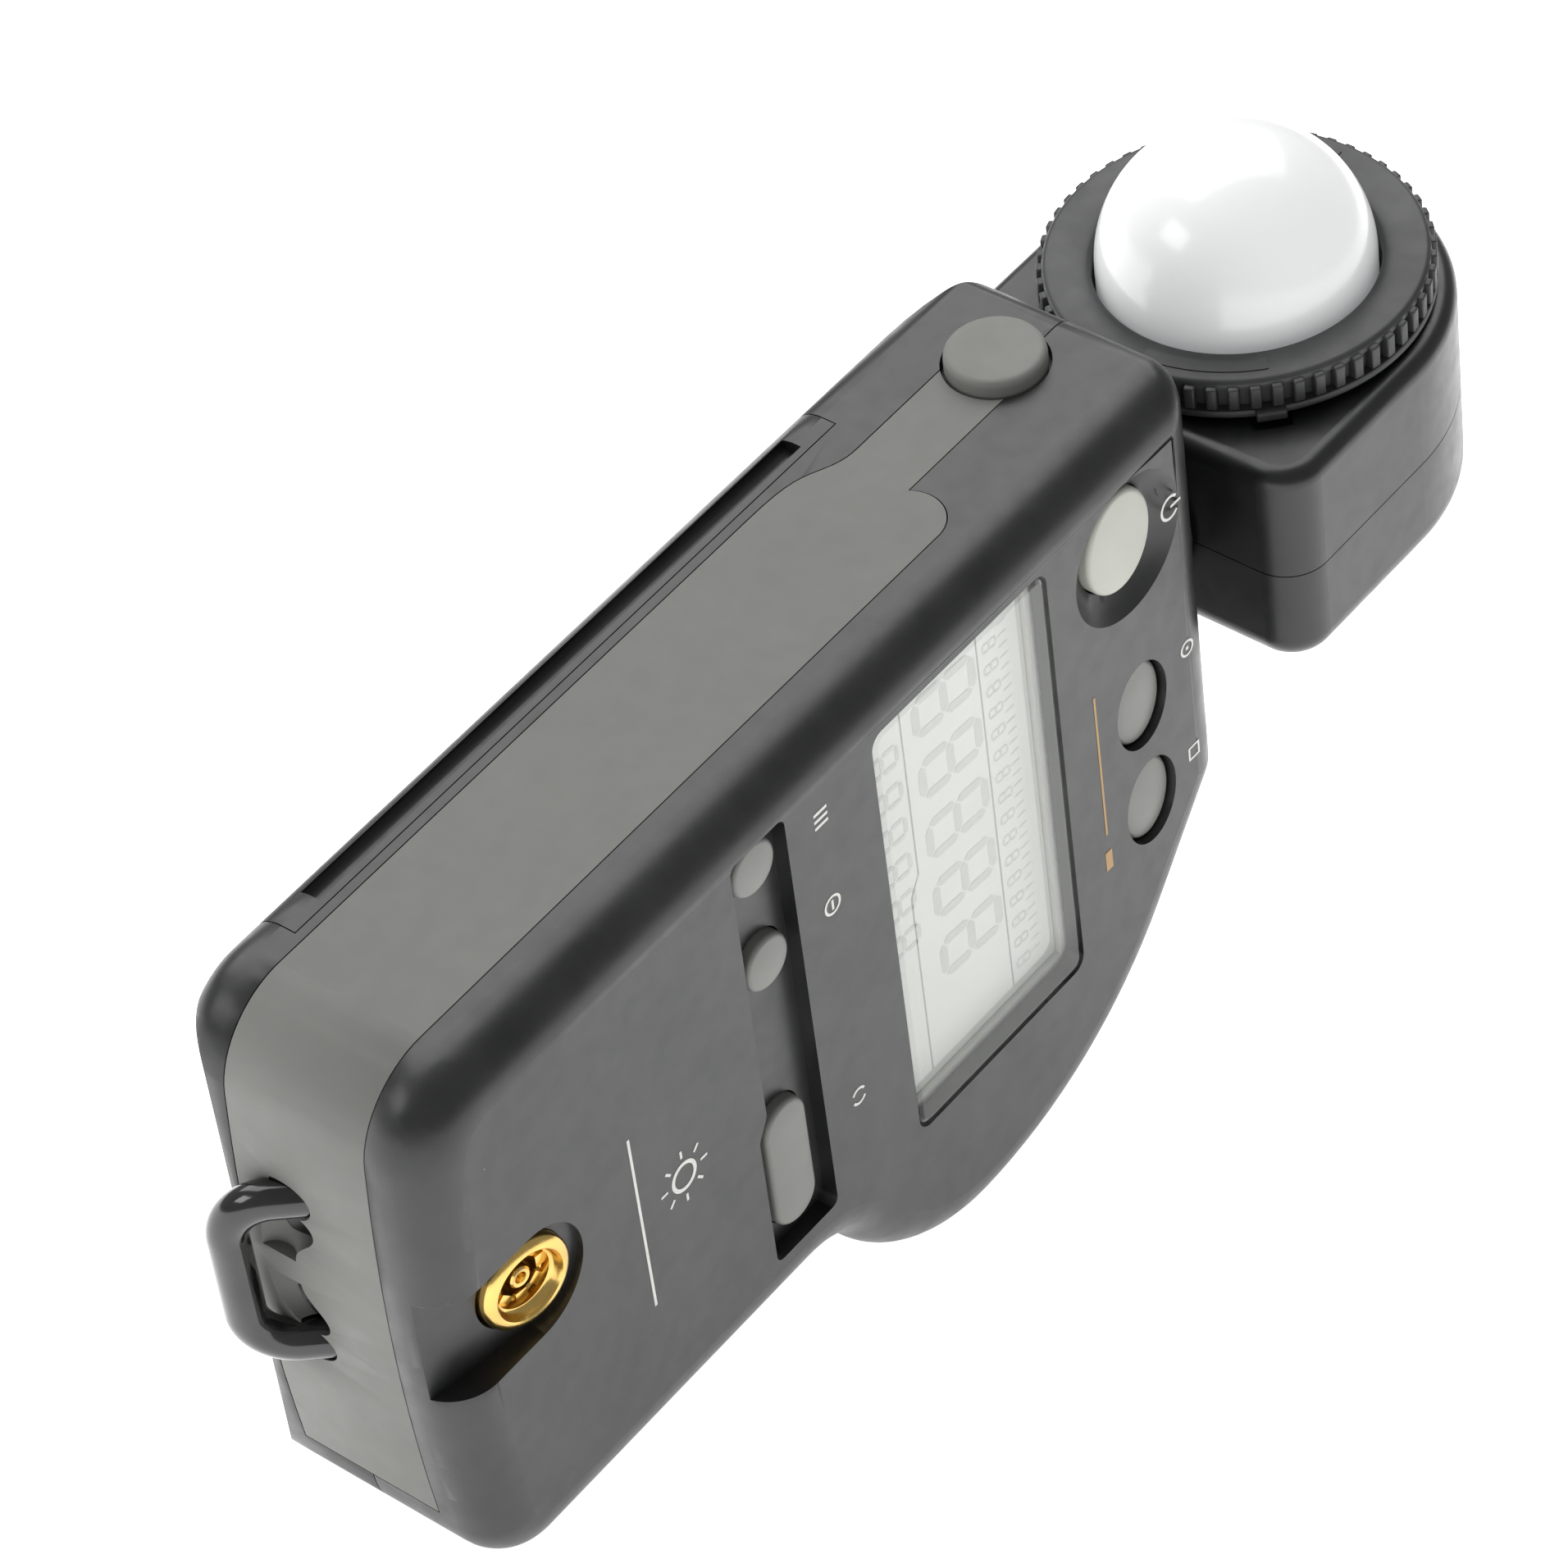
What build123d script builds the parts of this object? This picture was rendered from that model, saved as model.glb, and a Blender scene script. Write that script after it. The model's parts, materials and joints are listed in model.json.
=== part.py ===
"""Handheld exposure meter with a turning receptor head.

Drawing frame used by the functions below, all in mm:
  x runs up the body from the bottom end to the head,
  y is zero on the straight left side and falls towards the right side,
  z is zero on the front face and falls towards the back.
The finished parts are turned so that the meter rests on its right side:
+X to the head, +Y to the back, +Z up, origin on the floor under the bottom end.
"""
import os
from math import cos, radians, sin

from build123d import *

# ---- body -------------------------------------------------------------
LENGTH = 111.6          # body without the head
DEPTH = 28.6            # front face to back face
GRIP = 61.4             # width of the lower grip
SWELL = 76.0            # width at the display
SWELL_X = 71.0          # station of the widest point
SWELL_R = 40.2          # curve above the widest point
SWELL_TURN = 50.0       # degrees the upper curve turns through
HIP_R = 20.0            # curve below the widest point
WAIST_R = 9.2           # hollow between the swell and the grip
HIP_TURN = 60.0
BOTTOM_RISE = 2.0       # bulge of the bottom end
WALL = 2.0
FRONT_EDGE_R = 5.0
BACK_EDGE_R = 3.5
PARTING = -14.4         # front and rear shells meet here
GAP = 0.12              # running gap between shells and loose parts
TILT = 13.408             # lean of the resting body, degrees
LIFT = 58.01            # drawing origin above the floor
SHIFT_X = -80.898           # brings the frame to the middle of the bounding box
SHIFT_Y = -14.6

# ---- side strip -------------------------------------------------------
STRIP_T = 1.6
STRIP_FRONT = -6.8
STRIP_BACK = -22.4
PAD_X, PAD_Z, PAD_R = 102.4, -16.2, 4.8
PAD_TRAVEL = 0.8

# ---- display ----------------------------------------------------------
WIN_X, WIN_Y = 74.7, -31.4
WIN_U, WIN_R = 25.2, 51.3
WIN_T = 2.0

# ---- front buttons: x, y, half size along x, half size along y --------
CHANNEL = dict(x0=42.3, x1=49.8, y0=-4.6, y1=-55.0, deep=1.7, wide_y=-38.6, wide_x=40.9)
BUTTONS = {
    "power_button": (98.6, -11.6, 4.7, 5.7),
    "ambient_button": (99.2, -32.7, 3.6, 4.9),
    "memory_button": (99.4, -45.4, 3.6, 4.9),
    "iso_button": (45.9, -7.9, 2.9, 2.9),
    "value_button": (45.9, -19.8, 2.9, 2.9),
    "mode_button": (45.1, -45.4, 2.9, 7.7),
}
BUTTON_TRAVEL = 0.6
BOARD_Z = -9.6
BOARD_T = 1.6

# ---- sync terminal ----------------------------------------------------
SYNC_X, SYNC_Y = 11.4, -29.2
SYNC_R = 4.9
SYNC_LEAN = 9.0
SLOT_W = 12.4

# ---- head -------------------------------------------------------------
PIVOT_Y, PIVOT_Z = -27.5, -14.6
HEAD_X0 = 116.2
HEAD_CX = 136.4
HEAD_R = 20.6
HEAD_TOP, HEAD_BACK = -16.0, -40.2
HEAD_SPLIT = -28.6
RING_FACE = -11.4
RING_R = 19.0
TEETH = 57
DOME_R = 13.4

# ---- battery ----------------------------------------------------------
CELL_R, CELL_L = 7.1, 50.3
CELL_X, CELL_Y, CELL_Z = 16.6, -11.6, -18.6
DOOR_X0, DOOR_X1 = 13.4, 88.0
HINGE_Y, HINGE_Z = -21.4, -27.6
HINGE_R, HINGE_ROOM = 0.94, 1.2
HINGE_PIN = 0.5

# ---- strap eyelet -----------------------------------------------------
EYE_X, EYE_Y, EYE_Z = 0.2, -27.0, -17.6      # where the ring leaves the bottom end
EYE_LEAN = 50.0
EYE_HALF, EYE_ROD = 9.3, 1.9
EYE_BEND, EYE_CORNER = -0.5, 4.5
EYE_FOOT = 8.25


def export(name, shape):
    turned = Pos(SHIFT_X, SHIFT_Y, LIFT) * Rot(0, -TILT, 0) * Rot(90, 0, 0) * shape
    turned.label = name
    export_step(turned, f"parts/{name}.step")


def block(x0, x1, y0, y1, z0, z1):
    return Pos((x0 + x1) / 2, (y0 + y1) / 2, (z0 + z1) / 2) * Box(
        abs(x1 - x0), abs(y1 - y0), abs(z1 - z0))


def post(x, y, z0, z1, r, hole=0.0):
    part = Pos(x, y, (z0 + z1) / 2) * Cylinder(r, abs(z1 - z0))
    if hole:
        part -= Pos(x, y, (z0 + z1) / 2) * Cylinder(hole, abs(z1 - z0) + 1)
    return part


def rod_x(x0, x1, y, z, r, hole=0.0):
    part = Pos((x0 + x1) / 2, y, z) * Rot(0, 90, 0) * Cylinder(r, abs(x1 - x0))
    if hole:
        part -= Pos((x0 + x1) / 2, y, z) * Rot(0, 90, 0) * Cylinder(hole, abs(x1 - x0) + 1)
    return part


def rod_y(x, y0, y1, z, r, hole=0.0):
    part = Pos(x, (y0 + y1) / 2, z) * Rot(90, 0, 0) * Cylinder(r, abs(y1 - y0))
    if hole:
        part -= Pos(x, (y0 + y1) / 2, z) * Rot(90, 0, 0) * Cylinder(hole, abs(y1 - y0) + 1)
    return part


def oval(x, y, half_x, half_y, z0, z1):
    """Upright prism with a round, oval or round-ended plan."""
    if half_y > 2 * half_x:
        plan = Rot(0, 0, 90) * SlotOverall(2 * half_y, 2 * half_x)
    elif abs(half_x - half_y) < 0.01:
        plan = Circle(half_x)
    else:
        plan = Ellipse(half_x, half_y)
    return Pos(x, y, min(z0, z1)) * extrude(plan, abs(z1 - z0))


def soft_top(part, radius):
    return fillet(part.faces().sort_by(Axis.Z)[-1].edges(), radius)


def plan_outline():
    """Front view of the body as one closed face."""
    turn, hip = radians(SWELL_TURN), radians(HIP_TURN)
    swell = (SWELL_X, -SWELL)
    arc_end = (SWELL_X + SWELL_R * sin(turn), -SWELL + SWELL_R * (1 - cos(turn)))
    run = LENGTH - arc_end[0]
    corner = (LENGTH, arc_end[1] + run * sin(turn) / cos(turn))
    hip_end = (SWELL_X - HIP_R * sin(hip), -SWELL + HIP_R * (1 - cos(hip)))
    waist_end = (hip_end[0] - WAIST_R * sin(hip), -GRIP)
    lines = [
        Line((BOTTOM_RISE, 0), (LENGTH, 0)),
        Line((LENGTH, 0), corner),
        Line(corner, arc_end),
        TangentArc(swell, arc_end, tangent=(1, 0)),
        TangentArc(swell, hip_end, tangent=(-1, 0)),
        TangentArc(waist_end, hip_end, tangent=(1, 0)),
        Line(waist_end, (BOTTOM_RISE, -GRIP)),
        ThreePointArc((BOTTOM_RISE, -GRIP), (0, -GRIP / 2), (BOTTOM_RISE, 0)),
    ]
    face = make_face(Curve() + lines)
    for near, radius in (((BOTTOM_RISE, 0), 9), ((LENGTH, 0), 2.5),
                         (corner, 4.5), ((BOTTOM_RISE, -GRIP), 7)):
        spot = min(face.vertices(), key=lambda v: (v.X - near[0]) ** 2 + (v.Y - near[1]) ** 2)
        face = fillet(spot, radius)
    return face


def side_profile(inset):
    """Side view that rounds the back of both ends."""
    top, back, low = LENGTH - inset, -DEPTH + inset, inset
    path = [
        Line((low - 3, 5), (top + 3, 5)),
        Line((top + 3, 5), (top + 3, -19)),
        Line((top + 3, -19), (top, -19)),
        Line((top, -19), (top, back + 7.2)),
        ThreePointArc((top, back + 7.2), (top - 1.3, back + 4.0), (top - 4.2, back + 2.3)),
        ThreePointArc((top - 4.2, back + 2.3), (top - 12, back + 0.6), (top - 20, back)),
        Line((top - 20, back), (low + 9, back)),
        ThreePointArc((low + 9, back), (low + 2.0, back + 3.0), (low - 0.4, back + 11)),
        Line((low - 0.4, back + 11), (low - 3, back + 11)),
        Line((low - 3, back + 11), (low - 3, 5)),
    ]
    face = make_face(Curve() + path)
    return Pos(0, 20, 0) * Rot(90, 0, 0) * extrude(face, 120)


def envelope(inset=0.0):
    face = plan_outline()
    if inset:
        face = offset(face, -inset, kind=Kind.INTERSECTION)
    solid = Pos(0, 0, -DEPTH + inset) * extrude(face, DEPTH - 2 * inset)
    front = solid.faces().sort_by(Axis.Z)[-1].edges()
    solid = fillet(front, max(FRONT_EDGE_R - inset, 1.0))
    if not inset:
        back = solid.faces().sort_by(Axis.Z)[0].edges()
        solid = fillet(back, BACK_EDGE_R)
    return solid & side_profile(inset)


def strip_region(grow=0.0):
    """Side and bottom area taken by the rubbery strip."""
    g = grow
    path = [
        Line((-6, STRIP_FRONT + g), (81.0, STRIP_FRONT + g)),
        ThreePointArc((81.0, STRIP_FRONT + g), (84.8 + g, -9.0), (84.6 + g, -12.6 + g)),
        Line((84.6 + g, -12.6 + g), (PAD_X - 3, -12.6 + g)),
        Line((PAD_X - 3, -12.6 + g), (PAD_X - 3, -19.8 - g)),
        Line((PAD_X - 3, -19.8 - g), (86.4, -19.8 - g)),
        Spline((86.4, -19.8 - g), (81.0, -21.6 - g), (74.0, STRIP_BACK - g),
               tangents=((-1, 0), (-1, 0))),
        Line((74.0, STRIP_BACK - g), (-6, STRIP_BACK - g)),
        Line((-6, STRIP_BACK - g), (-6, STRIP_FRONT + g)),
    ]
    side = Pos(0, 5, 0) * Rot(90, 0, 0) * extrude(make_face(Curve() + path), 14.5)
    pad = rod_y(PAD_X, 5, -9.5, PAD_Z, PAD_R + 0.35)
    end = block(-6, 9.5, -9.0, -GRIP + 7.5 - g, STRIP_FRONT + g, STRIP_BACK - g)
    return side + pad + end


def strip_layer(full, inner_face):
    core = Pos(0, 0, -DEPTH - 5) * extrude(inner_face, DEPTH + 10)
    return full - core


def sync_slot(deep=0.0):
    """Sloping slot that opens through the bottom edge."""
    end_x = 17.9 - SLOT_W / 2
    plan = Rectangle(end_x + 12, SLOT_W)
    tool = Pos((end_x - 12) / 2, 0, 0) * extrude(plan, 12) + Pos(end_x, 0, 0) * extrude(
        Circle(SLOT_W / 2), 12)
    return Pos(SYNC_X, SYNC_Y, -1.9 - deep) * Rot(0, -SYNC_LEAN, 0) * Pos(-SYNC_X, 0, 0) * tool


def front_features():
    c = CHANNEL
    corners = [(c["x0"], c["y0"]), (c["x1"], c["y0"]), (c["x1"], c["y1"]), (c["wide_x"], c["y1"]),
               (c["wide_x"], c["wide_y"]), (c["x0"], c["wide_y"] + 2.4), (c["x0"], c["y0"])]
    plan = make_face(Polyline(*corners))
    plan = fillet(plan.vertices(), 0.9)
    cut = Pos(0, 0, -c["deep"]) * extrude(plan, c["deep"] + 3)
    window = Pos(WIN_X, WIN_Y, -WALL - 2) * extrude(
        RectangleRounded(WIN_U + 2 * GAP, WIN_R + 2 * GAP, 1.6), WALL + 6)
    cut += window
    for name, (x, y, hx, hy) in BUTTONS.items():
        cut += oval(x, y, hx + 0.2, hy + 0.2, -8, 3)
    x, y, hx, hy = BUTTONS["power_button"]
    cut += Pos(x + 0.5, y - 0.9, 9.4) * Sphere(12.2)
    cut += sync_slot()
    return cut


def boss(x, y, z0, z1, hole):
    return post(x, y, z0, z1, 2.6, hole)


SCREWS = [(19.5, -38.0), (19.5, -54.0), (60.5, -66.0), (106.2, -41.6), (107.6, -10.2)]


def make_shells():
    outer = envelope()
    inner = envelope(WALL)
    plan = plan_outline()
    strip_core = offset(plan, -STRIP_T, kind=Kind.INTERSECTION)
    layer = strip_layer(outer, strip_core)
    strip_space = layer & strip_region(GAP)
    strip_room = strip_layer(outer, offset(plan, -STRIP_T - 1.4, kind=Kind.INTERSECTION))
    backing = strip_room & strip_region(1.6)
    strip = layer & strip_region()

    shells = outer - inner
    shells += backing & outer
    shells -= strip_space

    front = shells & block(-20, 140, 30, -120, PARTING, 20)
    rear = shells & block(-20, 140, 30, -120, -60, PARTING - GAP)

    # front shell: pockets, seat behind the channel, bosses
    c = CHANNEL
    front += block(c["wide_x"] - 1.4, c["x1"] + 1.4, -3.2, -57.4, -c["deep"] - 1.5, -1.0) & outer
    x, y, hx, hy = BUTTONS["power_button"]
    front += oval(x + 0.4, y - 0.6, hx + 2.4, hy + 2.6, -4.4, -1) & outer
    front += post(SYNC_X + 0.3, SYNC_Y, -8.6, -1.0, 7.4) & outer
    front += block(0.5, 18.6, SYNC_Y - 7.6, SYNC_Y + 7.6, -6.4, -1.0) & outer
    front -= front_features()
    seat = Pos(SYNC_X, SYNC_Y, -1.9) * Rot(0, -SYNC_LEAN, 0)
    front -= seat * Pos(0, 0, -4) * Cylinder(SYNC_R + 0.15, 13)
    for sx, sy in SCREWS:
        front += boss(sx, sy, PARTING + 0.01, -1.0, 0) & outer
        front -= post(sx, sy, PARTING - 1, -5.0, 0.85)

    # rear cover: battery bay opening, screw holes, eyelet recess
    for sx, sy in SCREWS:
        rear += boss(sx, sy, -DEPTH + 1.2, PARTING - GAP, 0) & outer
        rear -= post(sx, sy, -DEPTH - 1, PARTING + 1, 1.15)
        rear -= post(sx, sy, -DEPTH - 1, -DEPTH + 2.6, 2.1)
    rear -= door_space(GAP)
    rear += bay_walls() & inner
    rear -= hinge_room()
    rear -= eyelet_space()
    strip -= eyelet_space()
    front -= eyelet_space()

    # neck opening shared by both shells
    neck = rod_x(LENGTH - 8.2, LENGTH + 5, PIVOT_Y, PIVOT_Z, 6.95)
    neck += rod_x(LENGTH - 8.2, LENGTH - 6.0, PIVOT_Y, PIVOT_Z, 8.3)
    web = rod_x(LENGTH - 5.8, LENGTH - 0.6, PIVOT_Y, PIVOT_Z, 9.6) & outer
    front = (front + (web & block(80, 140, 30, -120, PARTING, 20))) - neck
    rear = (rear + (web & block(80, 140, 30, -120, -60, PARTING - GAP))) - neck

    # rocker opening in the right side
    front -= rocker_space()
    rear -= rocker_space()

    # button plunger hole for the measuring pad
    hole = rod_y(PAD_X, 6, -8, PAD_Z, 2.4)
    front -= hole
    rear -= hole
    return biggest(front), biggest(rear), strip


def biggest(part):
    solids = part.solids()
    return max(solids, key=lambda s: s.volume)


def door_space(grow):
    """Battery door: the back-left edge of the rear cover."""
    g = grow
    return block(DOOR_X0 - g, DOOR_X1 + g, 6, -21.4 - g, -40, -23.6 + g)


def hinge_room():
    """Groove for the hinge barrel of the lid, with a blind hole at each end."""
    x0, x1 = DOOR_X0 - GAP, DOOR_X1 + GAP
    room = rod_x(x0, x1, HINGE_Y, HINGE_Z, HINGE_ROOM)
    room += block(x0, x1, HINGE_Y + 0.5, HINGE_Y - HINGE_ROOM, -40, HINGE_Z)
    return room + rod_x(x0 - 1.2, x1 + 1.2, HINGE_Y, HINGE_Z, HINGE_PIN + 0.08)


def bay_walls():
    """Ribs that carry the cell across the rear cover."""
    walls = block(11.6, 12.8, -3.2, -23.5, -26.2, -14.9)
    walls += block(67.5, 68.7, -3.2, -23.5, -26.2, -14.9)
    walls += block(11.6, 68.7, -22.9, -24.1, -27.0, -14.9)
    return walls


def make_door():
    outer = envelope()
    inner = envelope(WALL)
    shell = (outer - inner) & door_space(0)
    groove = rod_x(DOOR_X0 + 4, DOOR_X1 - 4, -0.4, -25.4, 1.15)
    latch = block(DOOR_X1 - 6, DOOR_X1 - 1.0, -8, -16, -26.8, -25.0)
    barrel = rod_x(DOOR_X0, DOOR_X1, HINGE_Y, HINGE_Z, HINGE_R)
    pin = rod_x(DOOR_X0 - 1.0, DOOR_X1 + 1.0, HINGE_Y, HINGE_Z, HINGE_PIN)
    return biggest(shell - groove + latch + barrel + pin)


def eyelet_place():
    """Root of the ring, local x running into the body."""
    return Pos(EYE_X, EYE_Y, EYE_Z) * Rot(0, -EYE_LEAN, 0)


def eyelet_ring(rod):
    """Two legs, two rounded corners and a straight bar of one rod."""
    flat = EYE_HALF - EYE_CORNER
    ring = Pos(EYE_BEND - EYE_CORNER, 0, 0) * Rot(90, 0, 0) * Cylinder(rod, 2 * flat)
    ring += Pos(EYE_BEND, flat, 0) * Rot(0, 0, 90) * Torus(EYE_CORNER, rod, major_angle=90)
    ring += Pos(EYE_BEND, -flat, 0) * Rot(0, 0, 180) * Torus(EYE_CORNER, rod, major_angle=90)
    for side in (-1, 1):
        leg = Rot(0, 90, 0) * Cylinder(rod, EYE_FOOT - EYE_BEND)
        ring += Pos((EYE_FOOT + EYE_BEND) / 2, side * EYE_HALF, 0) * leg
    return ring


def eyelet_space():
    room = Pos(EYE_FOOT, 0, 0) * Box(2.8, 2 * EYE_HALF + 5.2, 4.6)
    return eyelet_place() * (eyelet_ring(EYE_ROD + 0.25) + room)


def make_eyelet():
    """Ring of moulded rod on a foot that is trapped between the shells."""
    foot = Pos(EYE_FOOT, 0, 0) * Box(2.4, 2 * EYE_HALF + 4.8, 4.2)
    return eyelet_place() * (eyelet_ring(EYE_ROD) + foot)


def make_window():
    lens = Pos(WIN_X, WIN_Y, -WIN_T) * extrude(RectangleRounded(WIN_U, WIN_R, 1.5), WIN_T)
    return chamfer(lens.faces().sort_by(Axis.Z)[-1].edges(), 0.7)


def make_button(name):
    x, y, hx, hy = BUTTONS[name]
    top = {"power_button": -0.4, "ambient_button": -0.7, "memory_button": -0.7}.get(name, -0.5)
    body = oval(x, y, hx, hy, -4.6, top)
    body = soft_top(body, 0.5)
    flange = oval(x, y, hx + 0.7, hy + 0.7, -5.2, -4.5)
    stem = post(x, y, -7.0, -5.2, 1.3)
    return body + flange + stem


def make_switch(name):
    x, y, _, _ = BUTTONS[name]
    case = Pos(x, y, BOARD_Z + 0.7) * Box(5.2, 5.2, 1.4)
    return case + post(x, y, BOARD_Z + 1.4, BOARD_Z + 1.9, 1.4)


ROCKER_TURN = 19.0
ROCKER_L, ROCKER_W = 15.0, 6.0


def rocker_frame():
    """Middle of the key on the swell, local -y facing outwards."""
    turn = radians(ROCKER_TURN)
    x = SWELL_X + SWELL_R * sin(turn)
    y = -SWELL + SWELL_R * (1 - cos(turn))
    return Pos(x, y, PARTING) * Rot(0, 0, ROCKER_TURN)


def rocker_space():
    room = Pos(0, 0.2, 0) * Box(ROCKER_L + 0.7, 6.0, ROCKER_W + 0.5)
    return rocker_frame() * (room + Pos(0, 1.9, 0) * Cylinder(0.95, ROCKER_W + 4.4))


def make_rocker():
    """Two-way key on a cross pin; the face follows the swell with a dished middle."""
    cap = rocker_frame() * (Pos(0, 0.6, 0) * Box(ROCKER_L, 4.0, ROCKER_W))
    cap &= post(SWELL_X, -SWELL + SWELL_R, -40, 10, SWELL_R + 0.5)
    pin = rocker_frame() * Pos(0, 1.9, 0) * Cylinder(0.9, ROCKER_W + 4.0)
    dish = rocker_frame() * Pos(0, -9.1, 0) * Cylinder(9.0, 4.4)
    return cap + pin - dish


def make_ring():
    skirt = rod_y(HEAD_CX, RING_FACE - 4.2, RING_FACE - 0.9, PIVOT_Z, RING_R - 0.6, DOME_R + 0.25)
    cap = Pos(HEAD_CX, RING_FACE - 0.45, PIVOT_Z) * Rot(-90, 0, 0) * Cone(RING_R, RING_R - 1, 0.9)
    cap -= rod_y(HEAD_CX, RING_FACE - 2, RING_FACE + 1, PIVOT_Z, DOME_R + 0.25)
    ring = skirt + cap
    tooth = Pos(HEAD_CX, RING_FACE - 2.1, PIVOT_Z) * Rot(90, 0, 0) * Pos(RING_R - 0.5, 0, 0) * Box(
        1.0, 1.25, 2.4)
    teeth = [Pos(HEAD_CX, 0, PIVOT_Z) * Rot(0, k * 360 / TEETH, 0) * Pos(-HEAD_CX, 0, -PIVOT_Z) * tooth
             for k in range(TEETH)]
    ring = ring + teeth
    lug_at = Pos(HEAD_CX, 0, PIVOT_Z) * Rot(0, -135, 0)
    ring += lug_at * Pos(RING_R - 0.2, RING_FACE - 3.6, 0) * Box(1.8, 1.0, 3.0)
    for k in range(3):
        ring += Pos(HEAD_CX, 0, PIVOT_Z) * Rot(0, k * 120, 0) * Pos(
            DOME_R + 0.95, RING_FACE - 4.9, 0) * Box(1.2, 1.6, 3.6)
    return ring


def make_dome():
    ball = Pos(HEAD_CX, RING_FACE - 0.6, PIVOT_Z) * Sphere(DOME_R)
    ball -= Pos(HEAD_CX, RING_FACE - 0.6, PIVOT_Z) * Sphere(DOME_R - 1.4)
    ball &= block(100, 170, RING_FACE - 0.6, 40, -60, 30)
    rim = rod_y(HEAD_CX, RING_FACE - 3.0, RING_FACE - 0.6, PIVOT_Z, DOME_R, DOME_R - 1.4)
    return ball + rim


def head_outline(inset=0.0):
    r = HEAD_R - inset
    x0 = HEAD_X0 + inset
    face = Rectangle(HEAD_CX - x0, 2 * r)
    face = Pos((HEAD_CX + x0) / 2, 0) * face
    corner = 4.4 - min(inset, 2.4)
    for v in face.vertices().sort_by(Axis.X)[:2]:
        spot = min(face.vertices(), key=lambda w: (w.X - v.X) ** 2 + (w.Y - v.Y) ** 2)
        face = fillet(spot, corner)
    return face + Pos(HEAD_CX, 0) * Circle(r)


def head_block(inset=0.0):
    height = HEAD_TOP - HEAD_BACK - 2 * inset
    solid = Pos(0, HEAD_TOP - inset, PIVOT_Z) * Rot(90, 0, 0) * extrude(head_outline(inset), height)
    if inset:
        return solid
    solid = fillet(solid.faces().sort_by(Axis.Y)[-1].edges(), 1.8)
    return fillet(solid.faces().sort_by(Axis.Y)[0].edges(), 3.0)


HEAD_SCREWS = [(120.6, 11.5), (120.6, -11.5), (151.0, 10.9), (151.0, -10.9)]


def make_head():
    hull = head_block() - head_block(2.0)
    seat_hole = rod_y(HEAD_CX, HEAD_TOP - 3, HEAD_TOP + 3, PIVOT_Z, DOME_R + 2.8)
    hull -= seat_hole
    lug_slot = Pos(HEAD_CX, 0, PIVOT_Z) * Rot(0, -135, 0) * Pos(RING_R - 0.2, HEAD_TOP, 0) * Box(
        2.4, 1.0, 3.8)
    hull -= lug_slot
    for sx, dz in HEAD_SCREWS:
        hull += rod_y(sx, HEAD_BACK + 1, HEAD_TOP - 1, PIVOT_Z + dz, 2.0) & head_block()
    hub = rod_x(HEAD_X0 + 0.3, HEAD_X0 + 4.4, PIVOT_Y, PIVOT_Z, 8.0)
    hull += hub & head_block()
    hull -= rod_x(HEAD_X0 - 3, HEAD_X0 + 9, PIVOT_Y, PIVOT_Z, 5.65)
    upper = hull & block(100, 170, HEAD_SPLIT + GAP / 2, 10, -60, 30)
    lower = hull & block(100, 170, -60, HEAD_SPLIT - GAP / 2, -60, 30)
    for sx, dz in HEAD_SCREWS:
        lower -= rod_y(sx, HEAD_BACK - 1, HEAD_SPLIT + 1, PIVOT_Z + dz, 1.15)
        lower -= rod_y(sx, HEAD_BACK - 1, HEAD_BACK + 2.2, PIVOT_Z + dz, 1.8)
        upper -= rod_y(sx, HEAD_SPLIT - 1, HEAD_SPLIT + 7, PIVOT_Z + dz, 0.85)
    return biggest(upper), biggest(lower)


def make_screw_z(x, y):
    head = post(x, y, -DEPTH + 1.4, -DEPTH + 2.6, 1.9)
    head -= Pos(x, y, -DEPTH + 1.6) * Box(2.4, 0.5, 0.8)
    head -= Pos(x, y, -DEPTH + 1.6) * Box(0.5, 2.4, 0.8)
    return head + post(x, y, -DEPTH + 2.6, -6.0, 0.8)


def make_screw_head(x, dz):
    z = PIVOT_Z + dz
    head = rod_y(x, HEAD_BACK + 0.9, HEAD_BACK + 2.2, z, 1.7)
    head -= Pos(x, HEAD_BACK + 1.1, z) * Box(2.3, 0.8, 0.5)
    head -= Pos(x, HEAD_BACK + 1.1, z) * Box(0.5, 0.8, 2.3)
    return head + rod_y(x, HEAD_BACK + 2.2, HEAD_SPLIT + 6.0, z, 0.8)


def make_cell():
    body = rod_x(CELL_X, CELL_X + CELL_L - 1.2, CELL_Y, CELL_Z, CELL_R)
    nub = rod_x(CELL_X + CELL_L - 1.2, CELL_X + CELL_L, CELL_Y, CELL_Z, 2.7)
    return body + nub


def make_spring():
    """Conical coil that presses on the flat end of the cell."""
    turns = 3.5
    rise = 1.8
    coil = Helix(pitch=rise / turns, height=rise, radius=4.4, cone_angle=-22)
    wire = Plane(origin=coil @ 0, z_dir=coil % 0) * Circle(0.35)
    spring = sweep(wire, Wire(coil), is_frenet=True)
    return Pos(CELL_X - 2.27, CELL_Y, CELL_Z) * Rot(0, 90, 0) * spring


def make_contact(x):
    plate = block(x, x + 0.4, CELL_Y + 5.6, CELL_Y - 5.6, CELL_Z - 5.2, CELL_Z + 4.2)
    tab = block(x, x + 0.4, CELL_Y - 1.2, CELL_Y + 1.2, CELL_Z + 4.2, CELL_Z + 7.1)
    return plate + tab


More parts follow.
